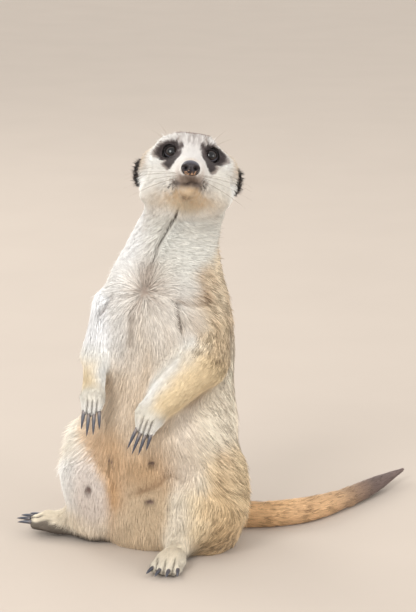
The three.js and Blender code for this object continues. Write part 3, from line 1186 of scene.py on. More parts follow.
    def _refine(self) -> None:
        """Gives the face, the paws and the parting on the throat a finer mesh."""
        shape = bmesh.new()
        mesh = mesh_from_arrays("coarse", self.points, self.triangles)
        shape.from_mesh(mesh)
        bpy.data.meshes.remove(mesh)
        shape.verts.ensure_lookup_table()
        local = self.head.local(self.points)
        fine = (local[:, 1] > -1) & (local[:, 2] < 9) & (np.abs(local[:, 0]) < 25) & (local[:, 2] > -36)
        for paw in PAWS:
            _, back, _ = paw_axes(paw, self.points)
            fine |= self.on(paw) & (back < 13)
        for crease in BODY_CREASES:
            gap, _ = front_line(self.points, crease.path)
            fine |= (gap < 5) & (self.normals[:, 1] < 0) & (crease.mark > 0.8)
        edges = [edge for edge in shape.edges if fine[edge.verts[0].index] and fine[edge.verts[1].index]]
        bmesh.ops.subdivide_edges(shape, edges=edges, cuts=1, use_grid_fill=True)
        self._read(shape)

    def _sculpt(self) -> None:
        """Adds the forms that the hair follows, and opens the eyes."""
        self.part, _ = self._nearest()
        local = self.head.local(self.points)
        on_head = self.on("head") | (local[:, 2] > -34) & (local[:, 1] > -10)
        move = np.zeros(len(self.points))
        for swell in HEAD_SWELLS:
            for side in (1, -1) if swell.at[0] and swell.both else (1,):
                at = (side * swell.at[0], swell.at[1], swell.at[2])
                move += swell.height * blot(local, at, swell.reach) * on_head
        for crease in HEAD_CREASES:
            gap, _ = line_distance(local, np.array(crease.path))
            move -= crease.depth * bell(gap, crease.width) * on_head
        for swell in BODY_SWELLS:
            move += swell.height * blot(self.points, swell.at, swell.reach)
        for crease in BODY_CREASES:
            gap, ends = crease.reach(self.points, 2)
            move -= crease.depth * bell(gap, crease.width) * (ends * (self.normals[:, 1] < 0))
        self.between = self._between_toes()
        move -= TOE_GAP_DEPTH * self.between
        self.points = self.points + self.normals * move[:, None]
        for eye in self.eyes.values():
            self._open_eye(eye)
        self.points[:, 2] = np.maximum(self.points[:, 2], self.floor)
        self.normals = vertex_normals(self.points, self.triangles)

    def _between_toes(self) -> Array:
        """Where the skin dips between two fingers or toes, from 0 to 1 at each vertex.

        Returns:
            The share at each vertex.
        """
        share = np.zeros(len(self.points))
        for paw in PAWS:
            own = self.on(paw)
            across, back, gaps = paw_axes(paw, self.points)
            for gap in gaps:
                valley = bell(across - gap, TOE_GAP_WIDTH) * ramp(back, 12, 5)
                share = np.where(own, np.maximum(share, valley), share)
        return share

    def _open_eye(self, eye: EyeShape) -> None:
        """Draws the skin over the eyeball up to the lids' edge, and clears the opening.

        Args:
            eye: the eye.
        """
        away, off, around = eye.polar(self.points)
        local = self.head.local(self.points)
        share = off / eye.edge(around)
        ball = eye.radius
        near = (away < ball + 7) & (off < math.radians(95)) & (local[:, 0] * SIDES[eye.tag] > 2)
        cover = np.maximum(away, ball + 0.55 + 0.5 * ramp(share, 1.1, 1.6))
        flat = ball + 0.55 + 4.5 * ramp(share, 1.3, 2.6)
        cover = np.where(share < 1.9, np.minimum(cover, np.maximum(flat, ball + 0.55)), cover)
        wanted = np.where(share < 1.0, np.minimum(away, ball - 1.2), cover)
        away = np.where(near, wanted, away)
        self.points = np.where(near[:, None], eye.unpolar(away, off, around), self.points)

    def _coat_sizes(self) -> None:
        """Works out the size and number of tufts at each vertex."""
        local, turn = self.head.local(self.points), trunk_turn(self.points)
        on_head, on_trunk = self.on("head"), self.on(*TRUNK)
        size = {name: self._values(name) for name in ("length", "width", "crowd")}
        size["depth"] = self._depth()

        def grade(share: Array, **by: float) -> None:
            """Makes sizes larger where share is 1, or smaller where what it changes them by is negative."""
            for name, amount in by.items():
                size[name] = size[name] * (1 + amount * share)

        face = ramp(np.linalg.norm(local - NOSE_PAD, axis=1), 46, 8) * on_head
        grade(face, length=-0.72, width=-0.3, crowd=0.9)
        back = back_of(turn) * on_trunk
        grade(back, length=0.35, width=0.3)
        grade(on_trunk * (1 - back), width=-0.1)
        size["crowd"] = size["crowd"] * (1 + 0.18 * on_trunk - 0.46 * back)
        low_belly = blot(self.points, (-2, -38, 40), (24, 14, 20)) * self.on("belly")
        grade(np.clip(low_belly * 1.3, 0, 1), length=-0.6)
        grade(low_belly, width=-0.25, crowd=-0.25)
        smooth = blot(self.points, (-36, -30, 42), (11, 30, 22)) * (self.normals[:, 1] < 0.1)
        grade(smooth, length=-0.4, width=-0.25, crowd=0.3)
        cheek = blot(mirrored(local), (25, -14, -8), (6, 9, 13)) * on_head
        grade(cheek, length=0.9, depth=1.1)
        grade(ramp(self.points[:, 0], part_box("tail_tip")[1].x / MM - 22, 178), length=-0.85)
        for paw in PAWS:
            _, back, _ = paw_axes(paw, self.points)
            grade((ramp(back, 7, 18) + 0.6 * ramp(back, 2.5, 0)) * self.on(paw), length=1.1)
        loose = 0.08 + 0.8 * cheek + 0.12 * self.on("thigh_l", "thigh_r")
        size["loose"] = loose + 0.1 * back_of(turn) * on_trunk
        size = {name: self.net.spread(values, 8) for name, values in size.items()}
        under = (self.normals[:, 2] < -0.75) & (self.points[:, 2] < 2.5)
        crowd, length = np.where(under, 0.15 * size["crowd"], size["crowd"]), size["length"]
        for eye in self.eyes.values():
            away, off, around = eye.polar(self.points)
            share = off / eye.edge(around)
            close = away < eye.radius + 6
            crowd = np.where(close & (share < 1.12), 0, crowd)
            length = np.where(close & (share < 2.2), length * (0.35 + 0.65 * ramp(share, 1.1, 2.2)), length)
        nose_gap = np.linalg.norm((local - NOSE_PAD) / (6.3, 5.2, 5.0), axis=1)
        crowd = np.where(nose_gap < 1.02, 0, crowd)
        self.growth = {**size, "crowd": crowd, "length": length}


# ---- the lie of the coat and its colours


CHEST_TURN = math.radians(23)


def trunk_middle() -> Array:
    """The point that the trunk's upright axis runs through, seen from above."""
    return (middle_of("chest") + middle_of("belly"))[:2] / 2


def trunk_turn(points: Array) -> Array:
    """How many degrees round the trunk points are from the middle of the chest, positive to the left.

    Args:
        points: the points.

    Returns:
        Degrees.
    """
    ahead = np.array([-math.sin(CHEST_TURN), -math.cos(CHEST_TURN)])
    aside = np.array([math.cos(CHEST_TURN), -math.sin(CHEST_TURN)])
    apart = points[:, :2] - trunk_middle()
    return np.degrees(np.arctan2(apart @ aside, apart @ ahead))


def round_trunk(turn: Array) -> Array:
    """The level direction that runs round the trunk to the left, at each turn in radians."""
    return np.stack([np.cos(turn - CHEST_TURN), np.sin(turn - CHEST_TURN), 0 * turn], axis=1)


@dataclass
class Lie:
    """Which way the hair points all over the skin.

    Attributes:
        skin: the skin.
        swirl: the point on the chest that the hair runs away from.
        swirl_reach: how far that reaches.
        rounds: how many times the directions are evened out.
    """

    skin: Skin
    swirl: Triple = (-3.5, -34.7, 172.0)
    swirl_reach: float = 24.0
    rounds: int = 14

    def build(self) -> None:
        """Works the directions out and gives them to the skin."""
        skin = self.skin
        way = np.tile(np.array([0.0, 0.0, -1.0]), (len(skin.points), 1))
        for node in FLESH:
            own = skin.on(node)
            way[own] = self._way(node, skin.points[own])
        for _ in range(self.rounds):
            way = skin.net.spread(way, 1, 0.7)
            way = unit(way - dot(way, skin.normals)[:, None] * skin.normals)
        skin.lie = way

    def _way(self, node: str, points: Array) -> Array:
        """The direction on one solid's share of the skin.

        Args:
            node: the solid.
            points: the vertices on it.

        Returns:
            One row a vertex, not yet laid flat.
        """
        if "_" not in node:
            return {"head": self._head, "neck": self._neck}.get(node, self._trunk)(points)
        if node.startswith("tail"):
            return self._tail(points)
        side, stem = node[-1], node[:-2]
        ends = {
            "upper_arm": ("upper_arm", "forearm"),
            "forearm": ("upper_arm", "hand"),
            "hand": ("forearm", "hand_claw2"),
            "shin": ("thigh", "foot"),
            "foot": ("shin", "foot_claw2"),
        }
        if stem == "thigh":
            outward = SIDES[side] * (points[:, 0] - middle_of("belly")[0])
            turn = ramp(outward, 12, 36)
            inner = ramp(points[:, 2], 62, 40) * ramp(outward, 30, 12)
            across = SIDES[side] * (0.5 * turn - 0.6 * inner)
            return unit(np.stack([across, 0.5 * turn, -0.9 + 0 * turn], axis=1))
        first, last = ends[stem]
        way = middle_of(f"{last}_{side}") - middle_of(f"{first}_{side}")
        sink = {"upper_arm": -0.25, "forearm": 0.15, "shin": -0.6}
        way = unit(way) + np.array([0, 0, sink.get(stem, 0.0)])
        return np.tile(unit(way), (len(points), 1))

    def _head(self, points: Array) -> Array:
        """Away from the nose, turning down over the cheeks.

        Args:
            points: the skin's vertices.

        Returns:
            One direction for each.
        """
        head = self.skin.head
        local = head.local(points)
        away = unit(local - np.array([0, 31.0, -17.0]))
        cheek = ramp(np.abs(local[:, 0]), 10, 26) * ramp(local[:, 2], 6, -16)
        way = away + cheek[:, None] * (0, -0.2, -0.35)
        return head.turn(unit(way))

    def _neck(self, points: Array) -> Array:
        """Away from the parting on the throat, and down.

        Args:
            points: the skin's vertices.

        Returns:
            One direction for each.
        """
        path = np.array(THROAT_LINE)
        gap, _ = line_distance(points, path)
        across = np.interp(points[:, 2], path[::-1, 2], path[::-1, 0])
        side = np.sign(points[:, 0] - across)
        aside = round_trunk(np.radians(trunk_turn(points)))
        left = side > 0
        strong = np.where(left, 2.4, 0.8) * ramp(gap, 75, 25)
        sink = np.where(left, -0.25 - 0.6 * ramp(gap, 8, 40), -0.6)
        return unit(side[:, None] * strong[:, None] * aside + np.stack([0 * sink, 0 * sink, sink], axis=1))

    def _trunk(self, points: Array) -> Array:
        """Down, but away from the swirl on the chest.

        Args:
            points: the skin's vertices.

        Returns:
            One direction for each.
        """
        apart = points - np.array(self.swirl)
        gap = np.linalg.norm(apart, axis=1)
        near = bell(gap, self.swirl_reach)[:, None]
        turn = trunk_turn(points)
        aside = round_trunk(np.radians(turn))
        outward = np.sign(turn) * ramp(np.abs(turn), 10, 50) * ramp(np.abs(turn), 120, 80)
        high = ramp(points[:, 2], 140, 175)
        swept = ramp(points[:, 2], 58, 80) * ramp(points[:, 2], 130, 108) * ramp(turn, 20, 45)
        lean = (0.25 + 0.9 * high + 0.55 * swept) * outward
        return unit(near * 1.6 * unit(apart) + (1 - near) * (np.array([0, 0, -1.0]) + lean[:, None] * aside))

    def _tail(self, points: Array) -> Array:
        """Along the tail's own middle line.

        Args:
            points: the skin's vertices.

        Returns:
            One direction for each.
        """
        solid = np.concatenate([node_points(node) for node in ("tail_root", "tail_middle", "tail_tip")])
        stops = np.arange(solid[:, 0].min() + 6, solid[:, 0].max(), 9.0)
        line = []
        for stop in stops:
            own = np.abs(solid[:, 0] - stop) < 9
            line.append([stop, solid[own, 1].mean(), solid[own, 2].mean()])
        line = np.array(line)
        slope = np.gradient(line[:, 1:], line[:, 0], axis=0)
        side = np.interp(points[:, 0], stops, slope[:, 0])
        rise = np.interp(points[:, 0], stops, slope[:, 1])
        return unit(np.stack([np.ones(len(points)), side, rise], axis=1))


class Hair(Enum):
    """The colours of the hair and the bare skin."""

    WHITE = (248, 247, 242)
    GREY_WHITE = (247, 246, 242)
    PINK_WHITE = (229, 221, 210)
    PINK_TAN = (238, 219, 196)
    OCHRE = (216, 182, 144)
    BARE = (222, 198, 166)
    SIDE = (234, 222, 206)
    FAWN = (250, 237, 214)
    THIGH = (224, 197, 156)
    BACK = (190, 163, 130)
    BAND = (112, 88, 66)
    STREAK = (150, 118, 84)
    DARK = (142, 106, 70)
    GOLD = (232, 209, 170)
    CREAM = (246, 236, 216)
    TAIL = (232, 190, 144)
    TAIL_DARK = (160, 124, 92)
    TIP = (116, 98, 92)
    PATCH = (62, 53, 52)
    PATCH_EDGE = (112, 90, 80)
    FOREHEAD = (178, 168, 163)
    CROWN = (116, 92, 78)
    NAPE = (192, 168, 138)
    LIP = (146, 124, 106)
    MOUTH = (62, 50, 46)
    CHIN = (220, 193, 158)
    THROAT = (206, 192, 160)
    SWIRL = (140, 116, 100)
    NIPPLE = (112, 92, 86)
    # The dark sole, also laid as painted shadow near the floor.
    SOLE_AND_SHADOW = (84, 74, 66)

    @property
    def linear(self) -> Array:
        """The colour as the shaders use it."""
        return tint(*self.value)


@dataclass
class Swatch:
    """Vertices of the skin while colours are laid on them, each over those before it.

    Attributes:
        points: the vertices.
        normals: their normals.
        fine: random values that change within a tuft's length.
        middling: coarser ones.
        broad: the coarsest.
        colour: the colours so far.
        speckle: how grizzled the hair is so far.
    """

    points: Array
    normals: Array
    fine: Array
    middling: Array
    broad: Array
    colour: Array | None = None
    speckle: Array | float = 0.0

    def start(self, colour: Hair) -> None:
        """Gives all of them one colour."""
        self.colour = np.tile(colour.linear, (len(self.points), 1))

    def lay(self, colour: Hair | Colour, share: Array | float) -> None:
        """Lays a colour over them, as far as share says."""
        self.colour = blend(self.colour, tint(*getattr(colour, "value", colour)), share)

    def cut(self, own: Array) -> "Swatch":
        """The ones among them that own picks out."""
        return Swatch(*[values[own] for values in vars(self).values()])

    def put(self, own: Array, part: "Swatch") -> None:
        """Takes back the colours of the ones that own picked out."""
        self.colour[own], self.speckle[own] = part.colour, part.speckle


@dataclass
class Markings:
    """The coat's colours all over the skin.

    Each mark is a colour laid over the ones before it. Its share comes from ramps and blots whose places
    are in millimetres, on the model's own axes or on the head's.

    Attributes:
        skin: the skin.
        patch: the outline of the dark patch round the left eye, aside and up from between the eyes.
        patch_middle: the point that the outline goes round.
    """

    skin: Skin
    patch_middle: tuple[float, float] = (12.2, -2.0)
    patch: tuple[tuple[float, float], ...] = (
        *((22.0, -0.2), (20.0, 4.0), (14.2, 6.3), (9.0, 6.0), (5.6, 4.4)),
        *((5.8, -1.4), (8.5, -8.2), (12.4, -13.9), (16.2, -9.2), (19.2, -4.8)),
    )

    FRONT = (
        *((Hair.OCHRE, 34, 56), (Hair.PINK_TAN, 58, 90)),
        *((Hair.PINK_WHITE, 108, 145), (Hair.GREY_WHITE, 168, 190)),
    )

    def build(self) -> None:
        """Colours the skin's vertices and says where single hairs differ most."""
        skin = self.skin
        noises = [grain(skin.points, size, seed) for size, seed in ((1.6, 3), (5.0, 5), (16.0, 9))]
        whole = Swatch(skin.points, skin.normals, *noises)
        self._trunk(whole)
        for node in FLESH:
            if node not in TRUNK:
                own = skin.on(node)
                part = whole.cut(own)
                self._part(node, part)
                whole.put(own, part)
        whole.colour = skin.net.spread(whole.colour, 12, 0.6)
        whole.speckle = skin.net.spread(whole.speckle, 12)
        self._low(whole)
        self._creases(whole)
        own = skin.on("head", "neck")
        face = whole.cut(own)
        self._head(face)
        whole.put(own, face)
        shade = 0.94 + 0.12 * whole.middling
        skin.colour = np.clip(whole.colour * shade[:, None], 0, 1)
        skin.near_parting = skin.net.spread(skin.parting, 220, 0.9)
        skin.speckle = whole.speckle

    def _low(self, here: Swatch) -> None:
        """Marks the inside of the right thigh, the groin and the left elbow, and lays the sole's dark colour
        along the right foot and leg near the floor, partly its dark sole and partly painted shadow.

        Args:
            here: the swatch to colour.
        """
        points, normals = here.points, here.normals
        x, z = points[:, 0], points[:, 2]
        front = normals[:, 1] < 0.1
        here.lay((232, 219, 208), np.clip(1.5 * (blot(points, (-36, -30, 42), (13, 30, 26)) * front), 0, 0.9))
        border = np.interp(z, (28, 36, 68, 80, 100), (-24, -25, -42, -46, -48))
        ochre = ramp(x + 4 * (here.middling - 0.5) - border, -2.0, 3.0) * ramp(x, -10, -22) * front
        here.lay((226, 190, 150), 0.85 * (ochre * ramp(z, 22, 34) * ramp(z, 92, 70)))
        here.lay((202, 162, 118), 0.8 * blot(points, (-24, -34, 36), (5, 16, 18)) * front)
        here.lay((184, 152, 112), 0.75 * blot(points, (41, -30, 132), (8, 18, 9)))
        # The right foot and leg near the floor: partly the dark sole, partly painted shadow where they meet
        # the floor; it reaches higher towards the claws.
        right = ramp(x, -22, -30) * ramp(normals[:, 1], 0.3, 0.0)
        limit = 4.5 + 0.3 * np.clip(-44 - x, 0, 34)
        ragged = 3.5 * (here.middling - 0.5) + 4.0 * (here.fine - 0.5)
        under = ramp(z + ragged - limit, 1.8, -1.8) * right
        here.lay(Hair.SOLE_AND_SHADOW, 0.88 * (under * ramp(normals[:, 2], 0.8, 0.55)))

    def _creases(self, here: Swatch) -> None:
        """Paints shade along the furrows and between the fingers and toes, darkens the swirl on the chest and
        the nipples, and says where the coat parts.

        Args:
            here: the swatch to colour.
        """
        skin, points = self.skin, here.points
        front = skin.normals[:, 1] < 0
        parting = np.zeros(len(points))
        for crease in BODY_CREASES:
            gap, ends = crease.reach(points, 2.4)
            ends = ends * front
            line = ramp(gap, 1.3 * crease.width, 0.4 * crease.width)
            parting = np.maximum(parting, (crease.mark > 0.8) * ends * line)
            # Painted shade along the fold.
            here.lay(crease.shade, crease.mark * bell(gap, crease.width * 0.85) * ends)
        self._swirl(here, front)
        for swell in BODY_SWELLS:
            spot = blot(points, swell.at, (1.3 * swell.reach[0], 9, 1.3 * swell.reach[2]))
            here.lay(Hair.NIPPLE, np.clip(1.3 * spot, 0, 0.95))
            parting = np.maximum(parting, ramp(spot, 0.45, 0.75))
        gap = np.linalg.norm(points - np.array(Lie.swirl), axis=1)
        parting = np.maximum(parting, 0.8 * ramp(gap, 3.0, 1.2) * front)
        skin.parting = np.maximum(parting, skin.between)
        skin.growth["crowd"] = skin.growth["crowd"] * (1 - np.clip(1.3 * parting, 0, 1))
        # Painted shade in the dips between the fingers and toes.
        here.lay((96, 84, 76), 0.75 * skin.between)

    def _swirl(self, here: Swatch, front: Array) -> None:
        """Draws the dark hairs that run out from the swirl on the chest, up to the parting.

        Args:
            here: the vertices.
            front: which of them face forward.
        """
        apart = here.points - np.array(Lie.swirl)
        gap = np.linalg.norm(apart, axis=1)
        flat = np.stack([apart[:, 0] * math.cos(CHEST_TURN), apart[:, 2], 0 * gap], axis=1)
        spokes = grain(unit(flat) * 9.0 + (0.05 * gap)[:, None], 1.0, 37)
        here.lay((200, 186, 170), 0.65 * (blot(here.points, (1.5, -34, 182), (14, 20, 13)) * front))
        smudge, _ = front_line(here.points, ((-3.5, -34.5, 172.0), (1.5, -33.0, 186.0)))
        here.lay((158, 140, 126), 0.6 * bell(smudge, 3.6) * front)
        here.lay(Hair.SWIRL, 0.6 * (ramp(spokes, 0.42, 0.7) * bell(gap, 13) * front))
        here.lay((98, 78, 68), 0.95 * bell(gap, 3.4) * front)

    def _trunk(self, here: Swatch) -> None:
        """The neck, chest, belly and back: pale in front, grizzled fawn at the sides, banded behind; the
        lower flanks are painted paler, as light.

        Args:
            here: the swatch to colour.
        """
        points = here.points
        x, z = points[:, 0], points[:, 2]
        height = z + 6 * (here.broad - 0.5)
        left = trunk_turn(points)
        turn = np.abs(left) + 16 * (here.middling - 0.5)
        here.start(Hair.BARE)
        for colour, low, high in self.FRONT:
            here.lay(colour, ramp(height, low, high))
        here.lay(Hair.SIDE, ramp(turn, 38, 60) * ramp(height, 120, 100))
        here.lay((243, 241, 237), 0.85 * (ramp(x, -5, -19) * ramp(height, 112, 140)))
        here.lay((254, 255, 255), 0.8 * ramp(left, 5, -20) * ramp(height, 180, 194))
        here.lay((208, 205, 199), 0.75 * blot(points, (26, -36, 172), (14, 24, 14)))
        here.lay(Hair.SIDE, (1 - ramp(x, 24, 2)) * ramp(height, 40, 60) * ramp(height, 120, 90))
        here.lay((222, 221, 212), 0.8 * ramp(left, -5, 25) * ramp(height, 172, 188))
        strand = ramp(streaks(points, (0.0, 0.0, -1.0), 1.3, 57, 0.1), 0.5, 0.75)
        here.lay((196, 170, 136), 0.5 * strand * ramp(height, 168, 140) * ramp(height, 40, 70))
        edge = 46 + 5 * ramp(height, 130, 165) + 45 * ramp(z, 180, 198) + 26 * ramp(left, 0, -30)
        flank = ramp(turn - edge, 0, 15)
        here.lay(Hair.FAWN, flank)
        streak = streaks(points, (0.2, 0.1, -1.0), 1.5, 41)
        streak = ramp(streak, 0.5, 0.62) * ramp(turn - edge, -6, 12)
        shoulder = ramp(height, 128, 150)
        here.lay((222, 199, 164), 0.5 * flank * shoulder)
        here.lay(Hair.DARK, (0.4 + 0.5 * shoulder) * streak)
        here.lay(Hair.BACK, ramp(turn + 14 * (here.broad - 0.5), 92, 158))
        wave = np.sin((height + 0.12 * turn) * 2 * math.pi / 17.0)
        here.lay(Hair.BAND, 0.75 * (ramp(wave, 0.1, 0.7) * ramp(height, 150, 125) * ramp(turn, 105, 135)))
        # Painted light: the lower flanks are made paler where the lamps leave them dark; the same share makes
        # their hair less grizzled.
        low_side = ramp(height, 132, 110) * ramp(turn, 125, 95)
        here.lay((255, 246, 228), 0.5 * flank * low_side)
        here.speckle = np.clip(0.12 + (0.8 - 0.4 * low_side) * flank, 0, 1)

    def _part(self, node: str, here: Swatch) -> None:
        """Colours a limb, a paw, the tail or the head's base.

        Args:
            node: the solid.
            here: the vertices on it.
        """
        here.start(Hair.WHITE)
        here.speckle = 0.05
        low, high = [np.array(corner)[2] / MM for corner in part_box(node)]
        share = (here.points[:, 2] - low) / (high - low)
        left = node.endswith("_l")
        stem = "tail" if node.startswith("tail") else node[:-2]
        if stem == "tail":
            self._tail(here)
        elif stem == "upper_arm":
            self._upper_arm(here, left)
        elif stem == "forearm":
            self._forearm(here, left, share)
        elif stem == "hand":
            here.lay((234, 226, 208), 0.85 * ramp(share, 0.1, 0.9))
            here.lay((214, 206, 190), 0.6 * ramp(here.fine, 0.45, 0.75))
            here.speckle = 0.08
        elif stem == "foot":
            here.lay((232, 220, 198), 0.85)
            here.lay(Hair.GOLD, 0.35 * ramp(share, 0.3, 0.9))
            # The downward faces: partly the dark sole, partly painted shade under the foot.
            here.lay(Hair.SOLE_AND_SHADOW, ramp(here.normals[:, 2], -0.35, -0.7))
            here.speckle = 0.1
        elif stem == "shin" and not left:
            here.lay(Hair.GOLD, 0.7 * ramp(here.points[:, 2], 32, 18))
            here.speckle = 0.12
        elif stem == "shin":
            here.lay(Hair.GOLD, 0.55 + 0.35 * ramp(here.points[:, 0], 20, 32))
            self._haunch(here)
        elif stem == "thigh":
            self._thigh(here, left)

    def _upper_arm(self, here: Swatch, left: bool) -> None:
        """White in front, tan with dark streaks outside and behind.

        Args:
            here: the vertices.
            left: whether it is the left one.
        """
        middling, x, z = here.middling, here.points[:, 0], here.points[:, 2]
        facing = here.normals @ np.array([0.9, 0.3, 0.1] if left else [-0.1, 1.0, 0.0])
        tan = ramp(facing + 0.5 * (middling - 0.5), *((-0.2, 0.35) if left else (0.3, 0.8)))
        if left:
            tan = np.maximum(tan, ramp(x + 9 * (middling - 0.5), 29, 37) * ramp(z, 124, 134))
        here.lay(Hair.WHITE if left else (254, 254, 254), 1 - tan)
        here.lay((236, 216, 184), tan)
        if not left:
            outside = ramp(here.normals[:, 0] + 0.5 * (middling - 0.5), 0.3, -0.4)
            here.lay(Hair.GOLD, 0.75 * outside * ramp(z, 138, 122))
        dark = ramp(streaks(here.points, (-0.35, -0.2, -0.9), 1.4, 43), 0.5, 0.62)
        here.lay(Hair.DARK, 0.9 * tan * dark)
        here.speckle = 0.15 + 0.7 * tan

    def _forearm(self, here: Swatch, left: bool, share: Array) -> None:
        """White inside and golden outside, with a dark elbow on the left.

        Args:
            here: the vertices.
            left: whether it is the left one.
            share: how high each vertex is on the solid, from 0 to 1.
        """
        facing = here.normals @ np.array([0.75, -0.15, -0.5] if left else [-0.9, -0.15, 0.1])
        hairs = streaks(here.points, (-0.9, -0.4, -0.3), 1.4, 59)
        fade = 1.0 if left else ramp(share, 0.95, 0.4)
        start = -0.85 if left else -0.55
        value = facing + 0.4 * (here.middling - 0.5) + 0.9 * (hairs - 0.5)
        here.lay(Hair.GOLD, ramp(value, start - 0.1, start + 0.85) * fade)
        elbow = blot(here.points, (40, -32, 133), (9, 16, 10)) * left
        here.lay((184, 152, 112), 0.85 * elbow)
        here.speckle = 0.12 + 0.5 * elbow

    def _haunch(self, here: Swatch) -> None:
        """The golden brown outside of the folded left leg, with its dark marks; the marks low by the heel are
        partly its own dark hair and partly painted shadow.

        Args:
            here: the swatch to colour.
        """
        points = here.points
        brown = ramp(points[:, 0] + 12 * (here.middling - 0.5) + 9 * ramp(points[:, 2], 22, 4), 29, 46)
        here.lay((222, 190, 146), 0.85 * brown)
        dark = ramp(streaks(points, (0.3, -0.2, -0.9), 1.5, 49), 0.5, 0.7)
        here.lay(Hair.STREAK, 0.5 * brown * dark)
        # Dark marks low by the heel: partly dark hair, partly painted shadow where the heel meets the floor.
        for spot in ((34, -36, 11), (39, -32, 8), (27, -40, 3)):
            here.lay((112, 86, 60), 0.7 * blot(points, spot, (3.0, 16, 3.2)))
        here.speckle = 0.2 + 0.5 * brown

    def _thigh(self, here: Swatch, left: bool) -> None:
        """Pale and pinkish inside and in front, grizzled outside; the right one has a painted highlight along
        its outer edge.

        Args:
            here: the vertices.
            left: whether it is the left one.
        """
        points, normals, middling = here.points, here.normals, here.middling
        x, z = points[:, 0], points[:, 2]
        outer = 1.0 if left else -1.0
        facing = normals @ np.array([outer * 0.8, 0.6, 0.0]) + 0.5 * (middling - 0.5)
        if left:
            facing = facing + 1.3 * ramp(x + 12 * (middling - 0.5), 24, 46)
        here.start(Hair.CREAM)
        here.lay((230, 214, 194), ramp(facing, 0.1, -0.5))
        outside = ramp(facing, -0.1, 0.6)
        if not left:
            outside = outside * ramp(normals[:, 1], -0.1, 0.5)
            # Painted highlight: the right thigh's outer edge, on the side facing the key light, near white.
            here.lay((252, 244, 228), 0.9 * ramp(normals[:, 0], 0.1, -0.5))
        high = ramp(z + 10 * (middling - 0.5), 50, 82)
        tan = Hair.THIGH.linear * (1 - high)[:, None] + Hair.FAWN.linear * 0.92 * high[:, None]
        here.colour = blend(here.colour, tan, 0.9 * outside)
        dark = ramp(streaks(points, (outer * 0.45, 0.4, -0.8), 1.7, 47), 0.5, 0.66)
        dark = dark * (1 - 0.8 * ramp(z, 62, 72) * ramp(x, 46, 40))
        here.lay(Hair.STREAK, (0.12 + 0.65 * outside) * dark)
        here.lay(Hair.BACK, 0.35 * ramp(facing, 0.75, 1.1))
        here.lay((250, 228, 190), 0.6 * outside * ramp(x, 46, 56))
        low = ramp(z, 62, 26) * outside
        here.lay((222, 188, 142), 0.6 * low * ramp(middling, 0.1, 0.6))
        here.speckle = np.clip(0.2 + 0.45 * outside, 0, 1)

    def _tail(self, here: Swatch) -> None:
        """Ochre with dark speckles, dark brown on the last third.

        Args:
            here: the swatch to colour.
        """
        x, end = here.points[:, 0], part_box("tail_tip")[0][0] / MM
        dark = ramp(x + 14 * (here.fine - 0.5), end - 12, end + 34)
        here.start(Hair.TAIL)
        here.lay((248, 202, 150), 0.8 * ramp(x, 96, 78))
        mottle = ramp(streaks(here.points, (0.9, 0.4, 0.0), 1.3, 53, 0.3), 0.5, 0.7)
        here.lay(Hair.TAIL_DARK, 0.65 * mottle)
        here.lay(Hair.TIP, dark)
        here.speckle = 0.5 - 0.2 * dark

    def _patch_share(self, local: Array) -> Array:
        """How much of the dark patch shows at each point of the head.

        Args:
            local: points in the head's axes.

        Returns:
            From 0 to 1.
        """
        ring = np.array(self.patch) - np.array(self.patch_middle)
        angles = np.arctan2(ring[:, 1], ring[:, 0])
        order = np.argsort(angles)
        reach = np.hypot(ring[:, 0], ring[:, 1])[order]
        aside = np.abs(local[:, 0]) - self.patch_middle[0]
        up = local[:, 2] - self.patch_middle[1]
        edge = np.interp(np.arctan2(up, aside), angles[order], reach, period=2 * math.pi)
        ragged = 1.2 * (grain(local * (1, 1, 0.6), 1.4, 21) - 0.5)
        return ramp(np.hypot(aside, up) + ragged, edge + 0.7, edge - 0.7) * (local[:, 1] > -12)

    def _head(self, here: Swatch) -> None:
        """The dark patches, the crown, the nape and the pale face with its mouth.

        Args:
            here: the swatch to colour.
        """
        local = self.skin.head.local(here.points)
        aside, ahead, up = local.T
        wide = np.abs(aside)
        hairs = grain(local * (2.2, 0.5, 0.5), 2.0, 31)
        behind = ramp(ahead + 0.35 * wide, 2.0, -10.0) * ramp(up, -12, 2)
        nape = ramp(ahead + 4 * (hairs - 0.5), -11, -20) * ramp(np.abs(trunk_turn(here.points)), 112, 140)
        behind = np.maximum(behind, nape)
        here.lay(Hair.NAPE, behind)
        facing = here.normals @ self.skin.head.turn(np.array([0, 0.964, -0.26]))
        crown = ramp(facing, 0.36, 0.1) * ramp(up, 5, 7.5) * ramp(wide, 19, 7)
        crown = crown * (0.35 + 0.65 * ramp(facing, -0.5, -0.1))
        here.lay((222, 216, 211), 0.85 * (ramp(ahead, -4, 6) * ramp(up, -20, -8)))
        strokes = ramp(grain(local * (0.5, 0.6, 2.4), 1.5, 45), 0.55, 0.72)
        here.lay((196, 190, 180), 0.4 * (strokes * ramp(up, 2, -6) * ramp(wide, 10, 18)))
        cheeks = ramp(up, -2, -12) * np.maximum(ramp(aside, 8, 18), 0.6 * ramp(aside, -8, -18))
        here.lay((232, 227, 216), 0.8 * (cheeks * ramp(ahead, -14, -4)))
        brow = bell(wide, 7.5) * ramp(up, 0.5, 6.0) * ramp(ahead, 0, 7)
        here.lay(Hair.FOREHEAD, 0.95 * brow * ramp(hairs, 0.25, 0.6))
        here.lay(Hair.CROWN, 0.95 * crown)
        patch = self._patch_share(local)
        here.lay(Hair.PATCH_EDGE, 0.75 * ramp(self._patch_share(local * (0.93, 1, 0.93)), 0, 1))
        here.lay(Hair.PATCH, patch)
        here.lay((112, 94, 92), 0.6 * blot(mirrored(local), (6.5, 18, 0), (3.6, 12, 6.5)) * patch)
        here.speckle = np.where(patch > 0.4, 0.25, np.maximum(here.speckle, 0.6 * behind))
